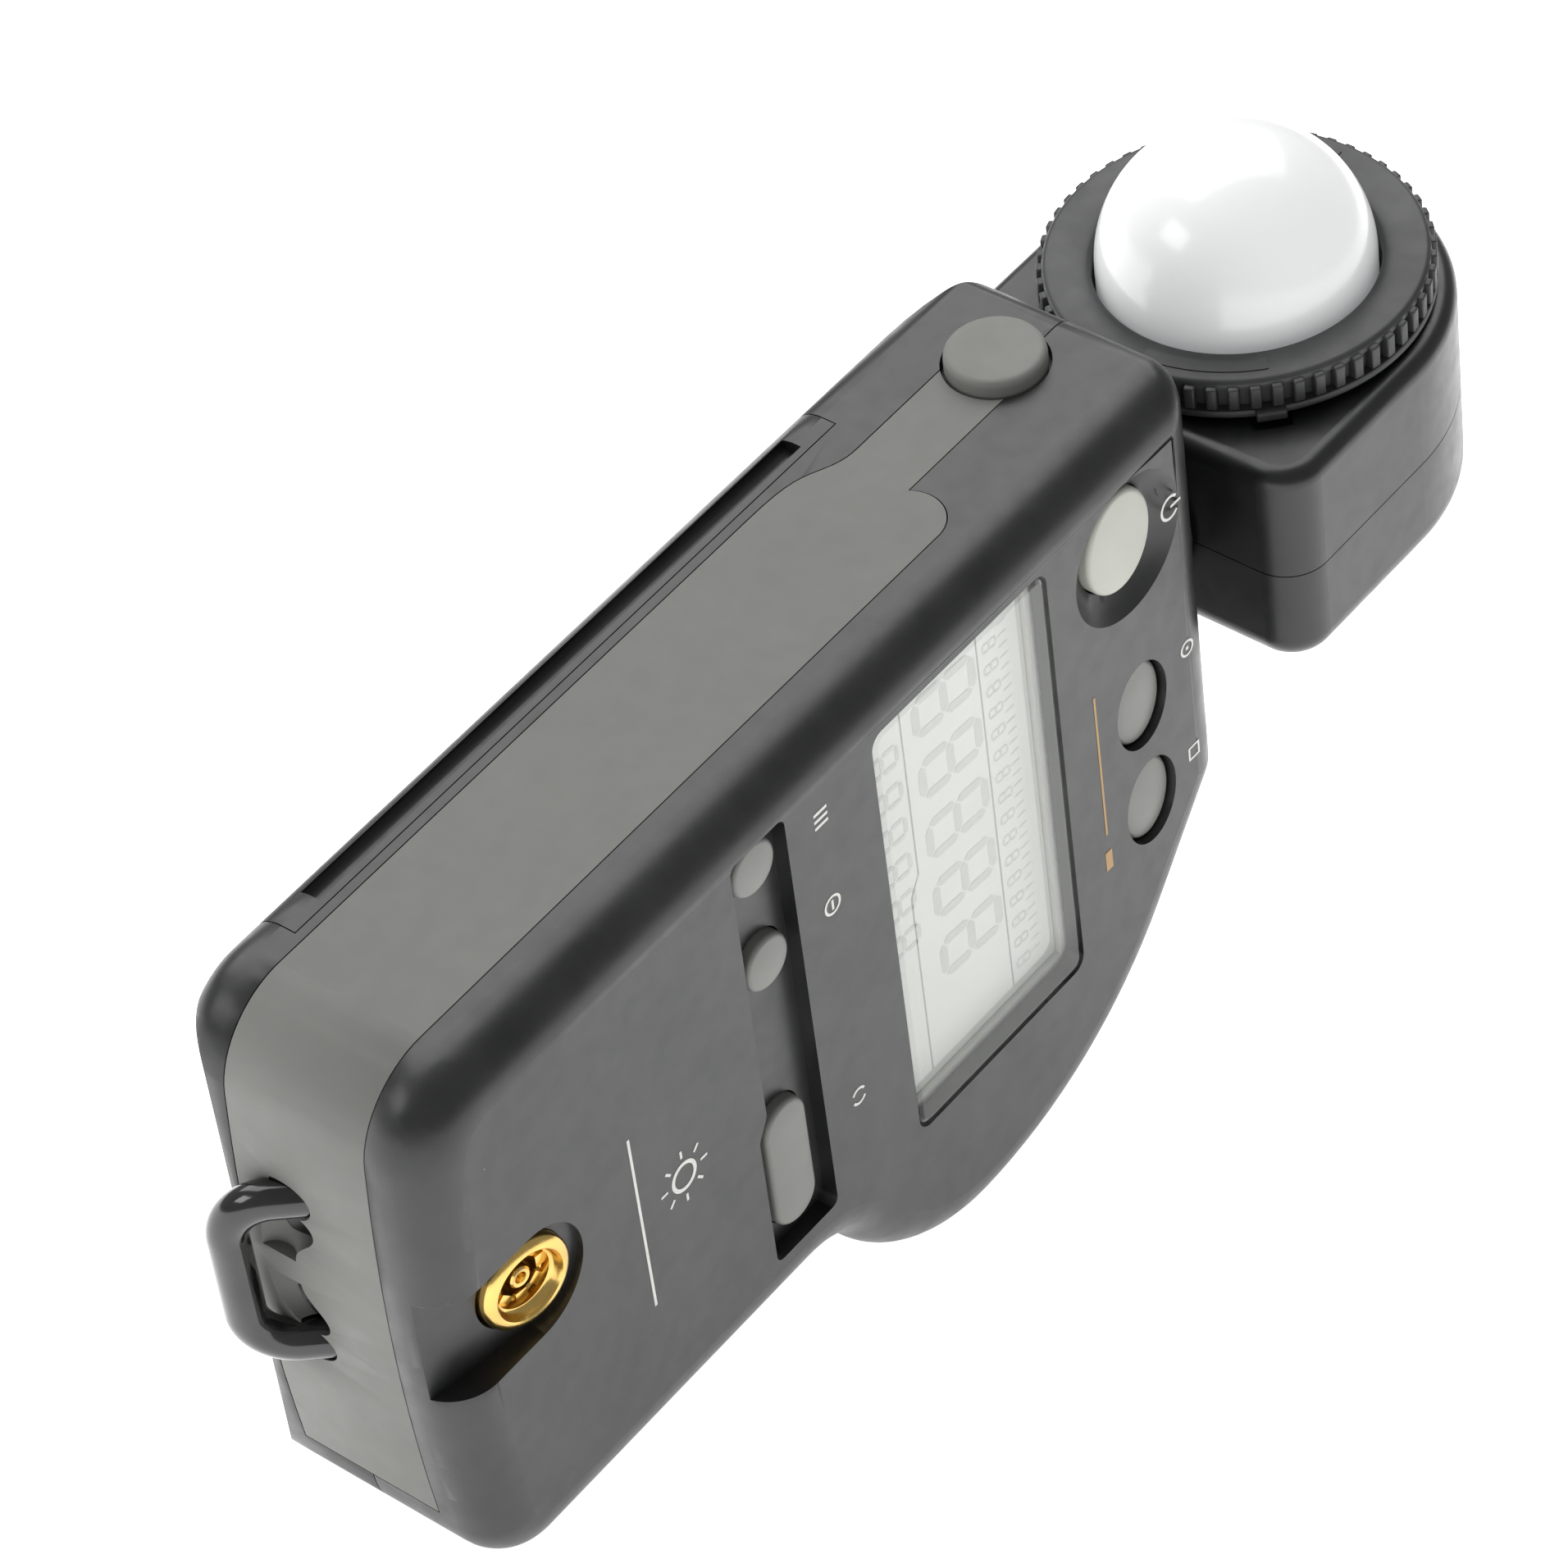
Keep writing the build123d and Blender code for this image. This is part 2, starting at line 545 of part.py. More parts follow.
def make_board():
    plan = offset(plan_outline(), -WALL - 1.0, kind=Kind.INTERSECTION)
    board = Pos(0, 0, BOARD_Z - BOARD_T) * extrude(plan, BOARD_T)
    board -= block(-5, 12.0, 5, -80, -20, 0)
    board -= block(LENGTH - 8.6, 120, PIVOT_Y + 11, PIVOT_Y - 11, -30, 0)
    board -= post(SYNC_X, SYNC_Y, -20, 0, 8.2)
    board -= block(-5, 95, 5, -4.6, -20, 0)
    board -= rod_y(PAD_X, 6, -9.8, PAD_Z, 7.4)
    board -= rocker_frame() * Box(19, 13, 30)
    for sx, sy in SCREWS:
        board -= post(sx, sy, -20, 0, 2.9)
    return biggest(board)


def make_lcd():
    glass = block(WIN_X - 12.0, WIN_X + 12.0, WIN_Y - 25.0, WIN_Y + 25.0, -3.9, -2.9)
    return glass


def make_lcd_frame():
    base = block(WIN_X - 13.4, WIN_X + 13.4, WIN_Y - 26.4, WIN_Y + 26.4, -7.9, -2.3)
    base -= block(WIN_X - 12.1, WIN_X + 12.1, WIN_Y - 25.1, WIN_Y + 25.1, -4.0, 0)
    base -= block(WIN_X - 11.0, WIN_X + 11.0, WIN_Y - 24.0, WIN_Y + 24.0, -6.6, 0)
    return base


def make_zebra(side):
    x = WIN_X + side * 12.0
    return block(x - 0.5, x + 0.5, WIN_Y - 22, WIN_Y + 22, -9.55, -7.95)


def make_measure_button():
    cap = rod_y(PAD_X, 1.6, -0.7, PAD_Z, PAD_R)
    cap = fillet(cap.faces().sort_by(Axis.Y)[-1].edges(), 0.6)
    return cap + rod_y(PAD_X, -0.7, -6.4, PAD_Z, 2.2) + rod_y(PAD_X, -5.0, -6.4, PAD_Z, 3.0)


def make_measure_switch():
    case = Pos(PAD_X, -9.2, PAD_Z) * Box(4.6, 2.8, 5.0)
    return case + rod_y(PAD_X, -7.8, -7.3, PAD_Z, 1.5)


def make_sync():
    place = Pos(SYNC_X, SYNC_Y, -1.9) * Rot(0, -SYNC_LEAN, 0)
    barrel = post(0, 0, -5.2, 1.5, SYNC_R, 2.6)
    barrel -= Pos(0, 0, 1.5) * Cone(2.6, 3.8, 1.8)
    insulator = post(0, 0, -5.6, -3.6, 2.5, 0.95)
    contact = post(0, 0, -6.4, -0.6, 0.9) - post(0, 0, -2.6, 0, 0.45)
    return place * barrel, place * insulator, place * contact


def make_neck():
    """Turning neck: hollow shaft fixed to the head with a flange inside the body."""
    shaft = rod_x(LENGTH - 7.6, HEAD_X0 + 5.4, PIVOT_Y, PIVOT_Z, 5.6, 4.0)
    flange = rod_x(LENGTH - 7.6, LENGTH - 6.4, PIVOT_Y, PIVOT_Z, 7.9, 4.0)
    return shaft + flange


def make_bearing():
    """Flanged bush clamped between the two shells."""
    bush = rod_x(LENGTH - 5.8, LENGTH + 1.2, PIVOT_Y, PIVOT_Z, 6.8, 5.65)
    collar = rod_x(LENGTH + 0.1, LENGTH + 4.2, PIVOT_Y, PIVOT_Z, 8.8, 5.65)
    collar = fillet(collar.edges().filter_by(GeomType.CIRCLE).sort_by(Axis.X)[-1], 0.5)
    return bush + collar


def make_detent():
    """Leaf spring with a rounded nose that clicks into the neck flange."""
    arm = block(LENGTH - 9.4, LENGTH - 8.8, PIVOT_Y - 9.4, PIVOT_Y + 0.6, -21.6, -19.0)
    nose = Pos(LENGTH - 8.8, PIVOT_Y, -20.3) * Sphere(0.95)
    foot = block(LENGTH - 12.0, LENGTH - 9.2, PIVOT_Y - 9.4, PIVOT_Y - 8.6, -21.6, -19.0)
    return arm + nose + foot


def make_seat():
    """Bayonet ring set into the head around the receptor."""
    ring = rod_y(HEAD_CX, HEAD_TOP - 2.4, HEAD_TOP + 0.2, PIVOT_Z, DOME_R + 2.7, DOME_R + 1.9)
    plate = rod_y(HEAD_CX, HEAD_TOP - 3.4, HEAD_TOP - 2.2, PIVOT_Z, DOME_R + 2.65, 5.0)
    return ring + plate


def main():
    os.makedirs("parts", exist_ok=True)
    front, rear, strip = make_shells()
    export("front_shell", front)
    export("rear_cover", rear)
    export("side_strip", strip - rod_y(PAD_X, 6, -9, PAD_Z, PAD_R + 0.35))
    export("measuring_button", make_measure_button())
    export("measuring_switch", make_measure_switch())
    export("battery_door", make_door())
    export("battery_cell", make_cell())
    export("battery_spring", make_spring())
    export("battery_contact_lower", make_contact(12.9))
    export("battery_contact_upper", make_contact(CELL_X + CELL_L + 0.05))
    export("display_window", make_window())
    export("display_panel", make_lcd())
    export("display_frame", make_lcd_frame())
    export("display_strip_lower", make_zebra(-1))
    export("display_strip_upper", make_zebra(1))
    export("main_board", make_board())
    for name in BUTTONS:
        export(name, make_button(name))
        export(name.replace("button", "switch"), make_switch(name))
    export("adjust_rocker", make_rocker())
    barrel, insulator, contact = make_sync()
    export("sync_barrel", barrel)
    export("sync_insulator", insulator)
    export("sync_contact", contact)
    export("strap_eyelet", make_eyelet())
    export("neck_shaft", make_neck())
    export("neck_bearing", make_bearing())
    export("detent_spring", make_detent())
    upper, lower = make_head()
    export("head_front_shell", upper)
    export("head_rear_shell", lower)
    export("bayonet_seat", make_seat())
    export("diffuser_ring", make_ring())
    export("diffuser_dome", make_dome())
    export("sensor_filter", rod_y(HEAD_CX, HEAD_TOP - 2.1, HEAD_TOP - 0.9, PIVOT_Z, 7.0))
    export("sensor_cell", rod_y(HEAD_CX, HEAD_TOP - 6.6, HEAD_TOP - 3.6, PIVOT_Z, 4.4))
    board = rod_y(HEAD_CX, HEAD_TOP - 8.2, HEAD_TOP - 6.8, PIVOT_Z, 12.0)
    export("head_board", board)
    for k, (sx, sy) in enumerate(SCREWS, 1):
        export(f"body_screw_{k}", make_screw_z(sx, sy))
    for k, (sx, dz) in enumerate(HEAD_SCREWS, 1):
        export(f"head_screw_{k}", make_screw_head(sx, dz))


if __name__ == "__main__":
    main()
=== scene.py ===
import json
import math

import bmesh
import bpy
from bpy.props import FloatProperty, FloatVectorProperty, IntProperty, PointerProperty
from mathutils import Matrix, Vector


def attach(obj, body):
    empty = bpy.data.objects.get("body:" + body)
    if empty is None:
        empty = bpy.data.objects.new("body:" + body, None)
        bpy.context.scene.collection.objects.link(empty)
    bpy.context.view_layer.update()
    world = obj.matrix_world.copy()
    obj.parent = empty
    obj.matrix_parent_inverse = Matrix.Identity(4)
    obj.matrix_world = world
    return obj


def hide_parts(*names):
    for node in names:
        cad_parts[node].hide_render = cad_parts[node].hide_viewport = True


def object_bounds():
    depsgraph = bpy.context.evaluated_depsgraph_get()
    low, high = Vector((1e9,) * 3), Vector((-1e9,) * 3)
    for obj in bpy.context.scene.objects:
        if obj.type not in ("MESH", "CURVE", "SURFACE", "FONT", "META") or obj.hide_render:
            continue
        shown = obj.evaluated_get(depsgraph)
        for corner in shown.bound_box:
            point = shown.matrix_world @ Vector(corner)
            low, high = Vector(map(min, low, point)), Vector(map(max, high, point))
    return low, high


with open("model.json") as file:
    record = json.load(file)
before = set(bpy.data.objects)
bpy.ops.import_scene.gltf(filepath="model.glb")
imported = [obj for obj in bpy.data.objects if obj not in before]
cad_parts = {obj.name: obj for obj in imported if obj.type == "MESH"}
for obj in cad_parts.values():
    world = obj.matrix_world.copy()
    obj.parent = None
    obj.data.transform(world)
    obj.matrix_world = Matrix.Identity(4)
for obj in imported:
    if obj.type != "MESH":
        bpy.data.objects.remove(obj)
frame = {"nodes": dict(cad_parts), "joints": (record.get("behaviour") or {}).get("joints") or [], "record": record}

bl_info = {
    "name": "Handheld light meter",
    "version": (1, 0, 0),
    "blender": (4, 5, 0),
    "location": "View3D > Sidebar > Light meter",
    "description": "Builds the visible pieces and finishes of a handheld light meter on its CAD frame",
    "category": "Object",
}

CAD_BOX = [list(v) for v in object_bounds()]
MM = 1000.0
JOINTS = {j["name"]: j for j in frame["joints"]}
MOUNTS = {m["name"]: m for m in frame["record"]["mounts"]}
# the head's pivot in the body's own millimetres:
# x towards the head, y towards the left side, z out of the front
PIVOT = Vector((113.9, -27.5, -14.6))


def body_matrix():
    """From the body's own millimetres to the frame's metres."""
    along = Vector(JOINTS["head_turn"]["axis"]).normalized()
    front = -Vector(JOINTS["power_press"]["axis"]).normalized()
    turn = Matrix((along, front.cross(along), front)).transposed() * (1 / MM)
    whole = turn.to_4x4()
    whole.translation = Vector(JOINTS["head_turn"]["pos_m"]) - turn @ PIVOT
    return whole


BODY = body_matrix()
UNBODY = BODY.inverted()


def local_box(node):
    """Lowest and highest corner of a CAD node in the body's own millimetres."""
    points = [UNBODY @ v.co for v in frame["nodes"][node].data.vertices]
    low = Vector([min(p[k] for p in points) for k in range(3)])
    high = Vector([max(p[k] for p in points) for k in range(3)])
    return low, high


# ---------------------------------------------------------------- sizes a user may change
class RingSettings(bpy.types.PropertyGroup):
    teeth: IntProperty(name="Teeth", description="Grip teeth round the diffuser ring", default=57,
                       min=12, max=90)
    tooth_width: FloatProperty(name="Tooth width", description="Width of one tooth along the rim",
                               default=0.00118, unit="LENGTH", precision=5)
    tooth_depth: FloatProperty(name="Tooth depth", description="How far a tooth stands out of its pocket",
                               default=0.00095, unit="LENGTH", precision=5)


class DomeSettings(bpy.types.PropertyGroup):
    radius: FloatProperty(name="Radius", description="Outer radius of the opal dome", default=0.0134,
                          unit="LENGTH", precision=4)
    wall: FloatProperty(name="Wall", description="Thickness of the opal dome", default=0.0014,
                        unit="LENGTH", precision=4)
    colour: FloatVectorProperty(name="Colour", description="Colour of the opal plastic", subtype="COLOR",
                                default=(0.90, 0.90, 0.89), min=0, max=1)


class KeySettings(bpy.types.PropertyGroup):
    crown: FloatProperty(name="Crown", description="Rise of a key's face above its rim", default=0.00022,
                         unit="LENGTH", precision=5)
    edge: FloatProperty(name="Edge", description="Rounding of a key's rim", default=0.00055,
                        unit="LENGTH", precision=5)


class DisplaySettings(bpy.types.PropertyGroup):
    digit_height: FloatProperty(name="Digit height", description="Height of the large unlit digits",
                                default=0.0082, unit="LENGTH", precision=4)
    bevel: FloatProperty(name="Lens bevel", description="Bevel round the clear lens", default=0.0006,
                         unit="LENGTH", precision=5)


class TerminalSettings(bpy.types.PropertyGroup):
    fingers: IntProperty(name="Fingers", description="Sprung fingers inside the flash socket", default=8,
                         min=3, max=16)


class StrapSettings(bpy.types.PropertyGroup):
    rod: FloatProperty(name="Rod radius", description="Radius of the strap loop's rod", default=0.0019,
                       unit="LENGTH", precision=4)


class StageSettings(bpy.types.PropertyGroup):
    lens: FloatProperty(name="Lens", description="Focal length of the camera in millimetres", default=158.83)
    azimuth: FloatProperty(name="Azimuth", description="Direction the camera stands in", subtype="ANGLE",
                           default=math.radians(-53.309))
    elevation: FloatProperty(name="Elevation", description="Height of the camera above the horizon",
                             subtype="ANGLE", default=math.radians(34.877))
    roll: FloatProperty(name="Roll", description="Turn of the camera about its own axis", subtype="ANGLE",
                        default=math.radians(3.181))
    distance: FloatProperty(name="Distance", description="Camera to the point it looks at", default=0.625,
                            unit="LENGTH")
    aim: FloatVectorProperty(name="Aim", description="Point looked at, in the frame",
                             default=(-0.01068, 0.00096, 0.05057), subtype="TRANSLATION", unit="LENGTH",
                             precision=5)


# ---------------------------------------------------------------- nodes
def add(tree, kind, inputs=None, **settings):
    """Adds a node, sets its properties, then its inputs: a socket is linked, anything else is a value."""
    node = tree.nodes.new(kind)
    for key, value in settings.items():
        setattr(node, key, value)
    for key, value in (inputs or {}).items():
        socket = node.inputs[key]
        if isinstance(value, bpy.types.NodeSocket):
            tree.links.new(value, socket)
        else:
            socket.default_value = value
    return node


def srgb(code):
    """Linear colour from a hex sRGB code."""
    channels = [int(code[k:k + 2], 16) / 255 for k in (0, 2, 4)]
    return [c / 12.92 if c <= 0.04045 else ((c + 0.055) / 1.055) ** 2.4 for c in channels] + [1.0]


def material(name):
    """An empty material with its output, and the object coordinates in metres."""
    made = bpy.data.materials.new(name)
    made.use_nodes = True
    tree = made.node_tree
    tree.nodes.clear()
    output = add(tree, "ShaderNodeOutputMaterial")
    place = add(tree, "ShaderNodeTexCoord").outputs["Object"]
    return made, tree, output, place


def noise(tree, place, size_mm, detail=2.0, rough=0.5):
    """Noise whose blobs are about size_mm across."""
    made = add(tree, "ShaderNodeTexNoise", {"Vector": place, "Scale": MM / size_mm, "Detail": detail,
                                            "Roughness": rough})
    return made.outputs["Fac"]


def spread(tree, value, low, high, from_low=0.3, from_high=0.7):
    """Maps a value onto a range."""
    made = add(tree, "ShaderNodeMapRange", {"Value": value, "From Min": from_low, "From Max": from_high,
                                            "To Min": low, "To Max": high})
    return made.outputs["Result"]


def blend_colours(tree, factor, first, second):
    """Mixes two colours, each a socket or a value."""
    return add(tree, "ShaderNodeMix", {0: factor, 6: first, 7: second}, data_type="RGBA").outputs[2]


def bumps(tree, height, distance_mm, strength=1.0, under=None):
    inputs = {"Height": height, "Distance": distance_mm / MM, "Strength": strength}
    if under:
        inputs["Normal"] = under
    return add(tree, "ShaderNodeBump", inputs).outputs["Normal"]


def dust(tree, place, cell_mm, radius):
    """Sparse specks: the middle of every few cells of a pattern."""
    cells = add(tree, "ShaderNodeTexVoronoi", {"Vector": place, "Scale": MM / cell_mm, "Randomness": 1.0})
    near = spread(tree, cells.outputs["Distance"], 1.0, 0.0, radius * 0.6, radius)
    pick = add(tree, "ShaderNodeSeparateColor", {"Color": cells.outputs["Color"]}).outputs[0]
    few = add(tree, "ShaderNodeMath", {0: pick, 1: 0.86}, operation="GREATER_THAN").outputs[0]
    return add(tree, "ShaderNodeMath", {0: near, 1: few}, operation="MULTIPLY").outputs[0]


def plastic(name, code, roughness, grain_mm=0.16, grain_height=0.006, tint="FFFFFF", tint_amount=0.03,
            specular=0.5, specks=0.0, coat=0.0):
    """Moulded plastic or rubber: base colour with a faint wide drift, fine mould grain, a few dust specks."""
    made, tree, output, place = material(name)
    drift = noise(tree, place, 9.0, 3.0)
    colour = blend_colours(tree, spread(tree, drift, 0.0, tint_amount), srgb(code), srgb(tint))
    rough = spread(tree, noise(tree, place, 2.2, 4.0), roughness - 0.04, roughness + 0.05)
    if specks:
        mask = dust(tree, place, 5.0, specks)
        colour = blend_colours(tree, mask, colour, srgb("C9C7C0"))
    normal = bumps(tree, noise(tree, place, grain_mm, 3.0, 0.6), grain_height, 0.7)
    shader = add(tree, "ShaderNodeBsdfPrincipled", {
        "Base Color": colour, "Roughness": rough, "IOR": 1.53, "Specular IOR Level": specular,
        "Coat Weight": coat, "Coat Roughness": 0.12, "Normal": normal})
    tree.links.new(shader.outputs[0], output.inputs["Surface"])
    return made


def metal(name, code, roughness, scratch_mm=0.25, height=0.002, along=(1.0, 1.0, 1.0)):
    """Plated or bare metal with fine drawn lines from its turning or stamping."""
    made, tree, output, place = material(name)
    stretched = add(tree, "ShaderNodeMapping", {"Vector": place, "Scale": along}).outputs[0]
    lines = noise(tree, stretched, scratch_mm, 4.0, 0.65)
    colour = blend_colours(tree, spread(tree, noise(tree, place, 1.8), 0.0, 0.10), srgb(code), srgb("3A2A12"))
    shader = add(tree, "ShaderNodeBsdfPrincipled", {
        "Base Color": colour, "Metallic": 1.0, "IOR": 1.5,
        "Roughness": spread(tree, lines, roughness * 0.75, roughness * 1.3),
        "Normal": bumps(tree, lines, height, 0.6)})
    tree.links.new(shader.outputs[0], output.inputs["Surface"])
    return made


def opal(name, colour):
    """Opal acrylic: a clear glossy skin; a faint glow stands for light carried through from the far side."""
    made, tree, output, place = material(name)
    rough = spread(tree, noise(tree, place, 3.0), 0.20, 0.27)
    shader = add(tree, "ShaderNodeBsdfPrincipled", {
        "Base Color": (*colour, 1.0), "Roughness": rough, "IOR": 1.49, "Subsurface Weight": 0.5,
        "Subsurface Radius": (1.0, 0.98, 0.95), "Subsurface Scale": 0.004, "Coat Weight": 0.5,
        "Coat Roughness": 0.09, "Emission Color": srgb("F6F8FA"), "Emission Strength": 0.2})
    tree.links.new(shader.outputs[0], output.inputs["Surface"])
    return made


def clear(name, code, least, roughness=0.03):
    """Clear moulding: what isn't reflected passes straight through, more is reflected at a glancing angle."""
    made, tree, output, place = material(name)
    facing = add(tree, "ShaderNodeLayerWeight", {"Blend": 0.5}).outputs["Facing"]
    glance = add(tree, "ShaderNodeMath", {0: facing, 1: 4.0}, operation="POWER").outputs[0]
    cover = spread(tree, glance, least, 1.0, 0.0, 1.0)
    rough = spread(tree, noise(tree, place, 6.0), roughness * 0.8, roughness * 1.3)
    shader = add(tree, "ShaderNodeBsdfPrincipled", {
        "Base Color": srgb(code), "Metallic": 1.0, "Roughness": rough, "IOR": 1.49, "Alpha": cover})
    tree.links.new(shader.outputs[0], output.inputs["Surface"])
    return made


def printed(name, code, roughness=0.5):
    """Pad-printed ink: thin and matt, a little uneven where the pad lifted."""
    made, tree, output, place = material(name)
    thin = spread(tree, noise(tree, place, 0.35, 3.0), 0.0, 0.16)
    colour = blend_colours(tree, thin, srgb(code), srgb("6A6A66"))
    shader = add(tree, "ShaderNodeBsdfPrincipled", {"Base Color": colour, "Roughness": roughness, "IOR": 1.5})
    tree.links.new(shader.outputs[0], output.inputs["Surface"])
    return made


def liquid_crystal(name):
    """Grey-green reflective display: even, with a faint drift and a fine cell pattern."""
    made, tree, output, place = material(name)
    drift = spread(tree, noise(tree, place, 14.0), 0.0, 0.5)
    colour = blend_colours(tree, drift, srgb("D3D6CF"), srgb("C6C9C2"))
    fine = noise(tree, place, 0.08, 1.0)
    shader = add(tree, "ShaderNodeBsdfPrincipled", {
        "Base Color": colour, "Roughness": 0.42, "IOR": 1.52, "Normal": bumps(tree, fine, 0.002, 0.4)})
    tree.links.new(shader.outputs[0], output.inputs["Surface"])
    return made


def floor_paper(name):
    """Seamless white paper, lit from behind so that it stays near white: a very faint tooth."""
    made, tree, output, place = material(name)
    normal = bumps(tree, noise(tree, place, 1.4, 4.0), 0.03, 0.5)
    shader = add(tree, "ShaderNodeBsdfPrincipled", {
        "Base Color": srgb("FAFAFA"), "Roughness": 0.85, "IOR": 1.45, "Specular IOR Level": 0.2,
        "Normal": normal, "Emission Color": srgb("FFFFFF"), "Emission Strength": 0.95})
    tree.links.new(shader.outputs[0], output.inputs["Surface"])
    return made


LOOKS = {}


def look(name):
    """The finish of one material slot or printed mark, made once."""
    if name in LOOKS:
        return LOOKS[name]
    dome = bpy.context.scene.meter_dome
    recipes = {
        # satin black shell: soft broad highlights, fine spark-eroded grain, the odd dust speck
        "shell": lambda: plastic("black ABS, spark-eroded mould", "131415", 0.36, specks=0.012,
                                 specular=0.6, tint_amount=0.012),
        # the head is a shade blacker and a little glossier
        "head_shell": lambda: plastic("black ABS, fine satin mould", "0D0E0F", 0.32, grain_height=0.004,
                                      specks=0.008, specular=0.55, tint_amount=0.008),
        # side strip: flat mid grey, no sharp highlight
        "strip": lambda: plastic("grey elastomer, soft-touch moulded", "7B7C78", 0.58, grain_height=0.008,
                                 tint="82837E", tint_amount=0.3, specular=0.3),
        "strip_key": lambda: plastic("grey ABS, satin moulded", "7C7D78", 0.5, specular=0.4),
        "key_light": lambda: plastic("light grey silicone, moulded", "BEC0B6", 0.42, specular=0.45),
        "key_grey": lambda: plastic("mid grey silicone, moulded", "7E7F7A", 0.42, specular=0.45),
        "key_dark": lambda: plastic("black silicone, moulded", "202122", 0.45),
        "ring_plastic": lambda: plastic("dark grey ABS, matt mould", "262728", 0.44, grain_height=0.008),
        "opal": lambda: opal("opal acrylic, injection moulded", tuple(dome.colour)),
        "window": lambda: clear("clear acrylic, polished mould", "F4F6F4", 0.02),
        "liquid_crystal": lambda: liquid_crystal("liquid crystal cell, reflective"),
        "white_plastic": lambda: plastic("white ABS, moulded", "D8D8D4", 0.45),
        "contact_rubber": lambda: plastic("layered contact rubber, extruded", "C08A90", 0.6),
        "board": lambda: plastic("glass-fibre laminate, green solder mask", "14512E", 0.35),
        "switch_black": lambda: plastic("black nylon, moulded", "141414", 0.5),
        "gold": lambda: metal("brass, turned and gold plated", "E6C272", 0.20),
        "eyelet_black": lambda: plastic("black acetal, polished mould", "0B0B0C", 0.13, grain_height=0.001,
                                        coat=0.5),
        "bearing": lambda: plastic("black acetal, turned", "181818", 0.4),
        "collar": lambda: metal("aluminium, turned and black anodised", "2A2A2C", 0.35),
        "spring_steel": lambda: metal("spring steel, nickel plated", "B9B7B0", 0.28),
        "screw_steel": lambda: metal("steel, black zinc plated", "3B3B3D", 0.38),
        "cell_can": lambda: plastic("steel can, printed film wrap", "6E7378", 0.25, coat=0.4),
        "filter_glass": lambda: clear("tinted filter glass, polished", "7FB3AE", 0.35, 0.02),
        "silicon": lambda: plastic("silicon wafer, polished", "10162B", 0.12, grain_height=0.0005),
        "white_ink": lambda: printed("white ink, pad printed", "E9E9E4"),
        "gold_ink": lambda: printed("gold ink, pad printed", "B98F4C", 0.38),
        "ghost": lambda: printed("liquid crystal segment, unlit", "C1C4BD"),
        "rule": lambda: printed("display rule, printed", "8E918C"),
        "band": lambda: printed("display band, printed", "A7AAA4"),
        "dark": lambda: plastic("black recess, moulded", "060606", 0.6),
    }
    LOOKS[name] = recipes[name]()
    return LOOKS[name]


# ---------------------------------------------------------------- mesh helpers, in the body's millimetres
def new_mesh(name, points, faces):
    mesh = bpy.data.meshes.new(name)
    mesh.from_pydata([tuple(p) for p in points], [], faces)
    mesh.validate()
    return mesh


def lathe(profile, centre, axis, steps=128, closed=True):
    """Turns (radius, height) points about an axis through centre."""
    axis = Vector(axis).normalized()
    across = axis.orthogonal().normalized()
    other = axis.cross(across)
    points, faces = [], []
    for k in range(steps):
        angle = math.tau * k / steps
        way = across * math.cos(angle) + other * math.sin(angle)
        points += [Vector(centre) + way * r + axis * h for r, h in profile]
    n = len(profile)
    for k in range(steps):
        for j in range(n if closed else n - 1):
            a, b = k * n, ((k + 1) % steps) * n
            faces.append((a + j, b + j, b + (j + 1) % n, a + (j + 1) % n))
    mesh = new_mesh("turned", points, faces)
    return tidy(mesh)


def tidy(mesh):
    """Merges doubled points and turns every face outwards."""
    bm = bmesh.new()
    bm.from_mesh(mesh)
    bmesh.ops.remove_doubles(bm, verts=bm.verts, dist=1e-4)
    bmesh.ops.recalc_face_normals(bm, faces=bm.faces)
    bm.to_mesh(mesh)
    bm.free()
    return mesh


def outline(half_x, half_y, corner=None, steps=72):
    """An ellipse, or a rectangle with round corners, as points round the origin."""
    points = []
    for k in range(steps):
        angle = math.tau * (k + 0.5) / steps
        if corner is None:
            points.append((half_x * math.cos(angle), half_y * math.sin(angle)))
        else:
            sx, sy = math.copysign(1, math.cos(angle)), math.copysign(1, math.sin(angle))
            points.append((sx * (half_x - corner) + corner * math.cos(angle),
                           sy * (half_y - corner) + corner * math.sin(angle)))
    return points


def loft(rows):
    """Skins rings of points that all have the same count, closed with a fan at each end."""
    points = [Vector(p) for row in rows for p in row]
    n, faces = len(rows[0]), []
    for j in range(len(rows) - 1):
        for k in range(n):
            faces.append((j * n + k, j * n + (k + 1) % n, (j + 1) * n + (k + 1) % n, (j + 1) * n + k))
    for first in (0, (len(rows) - 1) * n):
        middle = sum((points[first + k] for k in range(n)), Vector()) / n
        points.append(middle)
        faces += [(first + k, first + (k + 1) % n, len(points) - 1) for k in range(n)]
    return tidy(new_mesh("loft", points, faces))


def soft_block(size, bevel, segments=3, taper=1.0):
    """A block with rounded edges; its top may be narrower than its foot."""
    bm = bmesh.new()
    bmesh.ops.create_cube(bm, size=1.0)
    for v in bm.verts:
        narrow = taper if v.co.x > 0 else 1.0
        v.co = Vector((v.co.x * size[0], v.co.y * size[1] * narrow, v.co.z * size[2] * narrow))
    bmesh.ops.bevel(bm, geom=bm.edges[:], offset=bevel, segments=segments, profile=0.5, affect="EDGES")
    mesh = bpy.data.meshes.new("block")
    bm.to_mesh(mesh)
    bm.free()
    return mesh


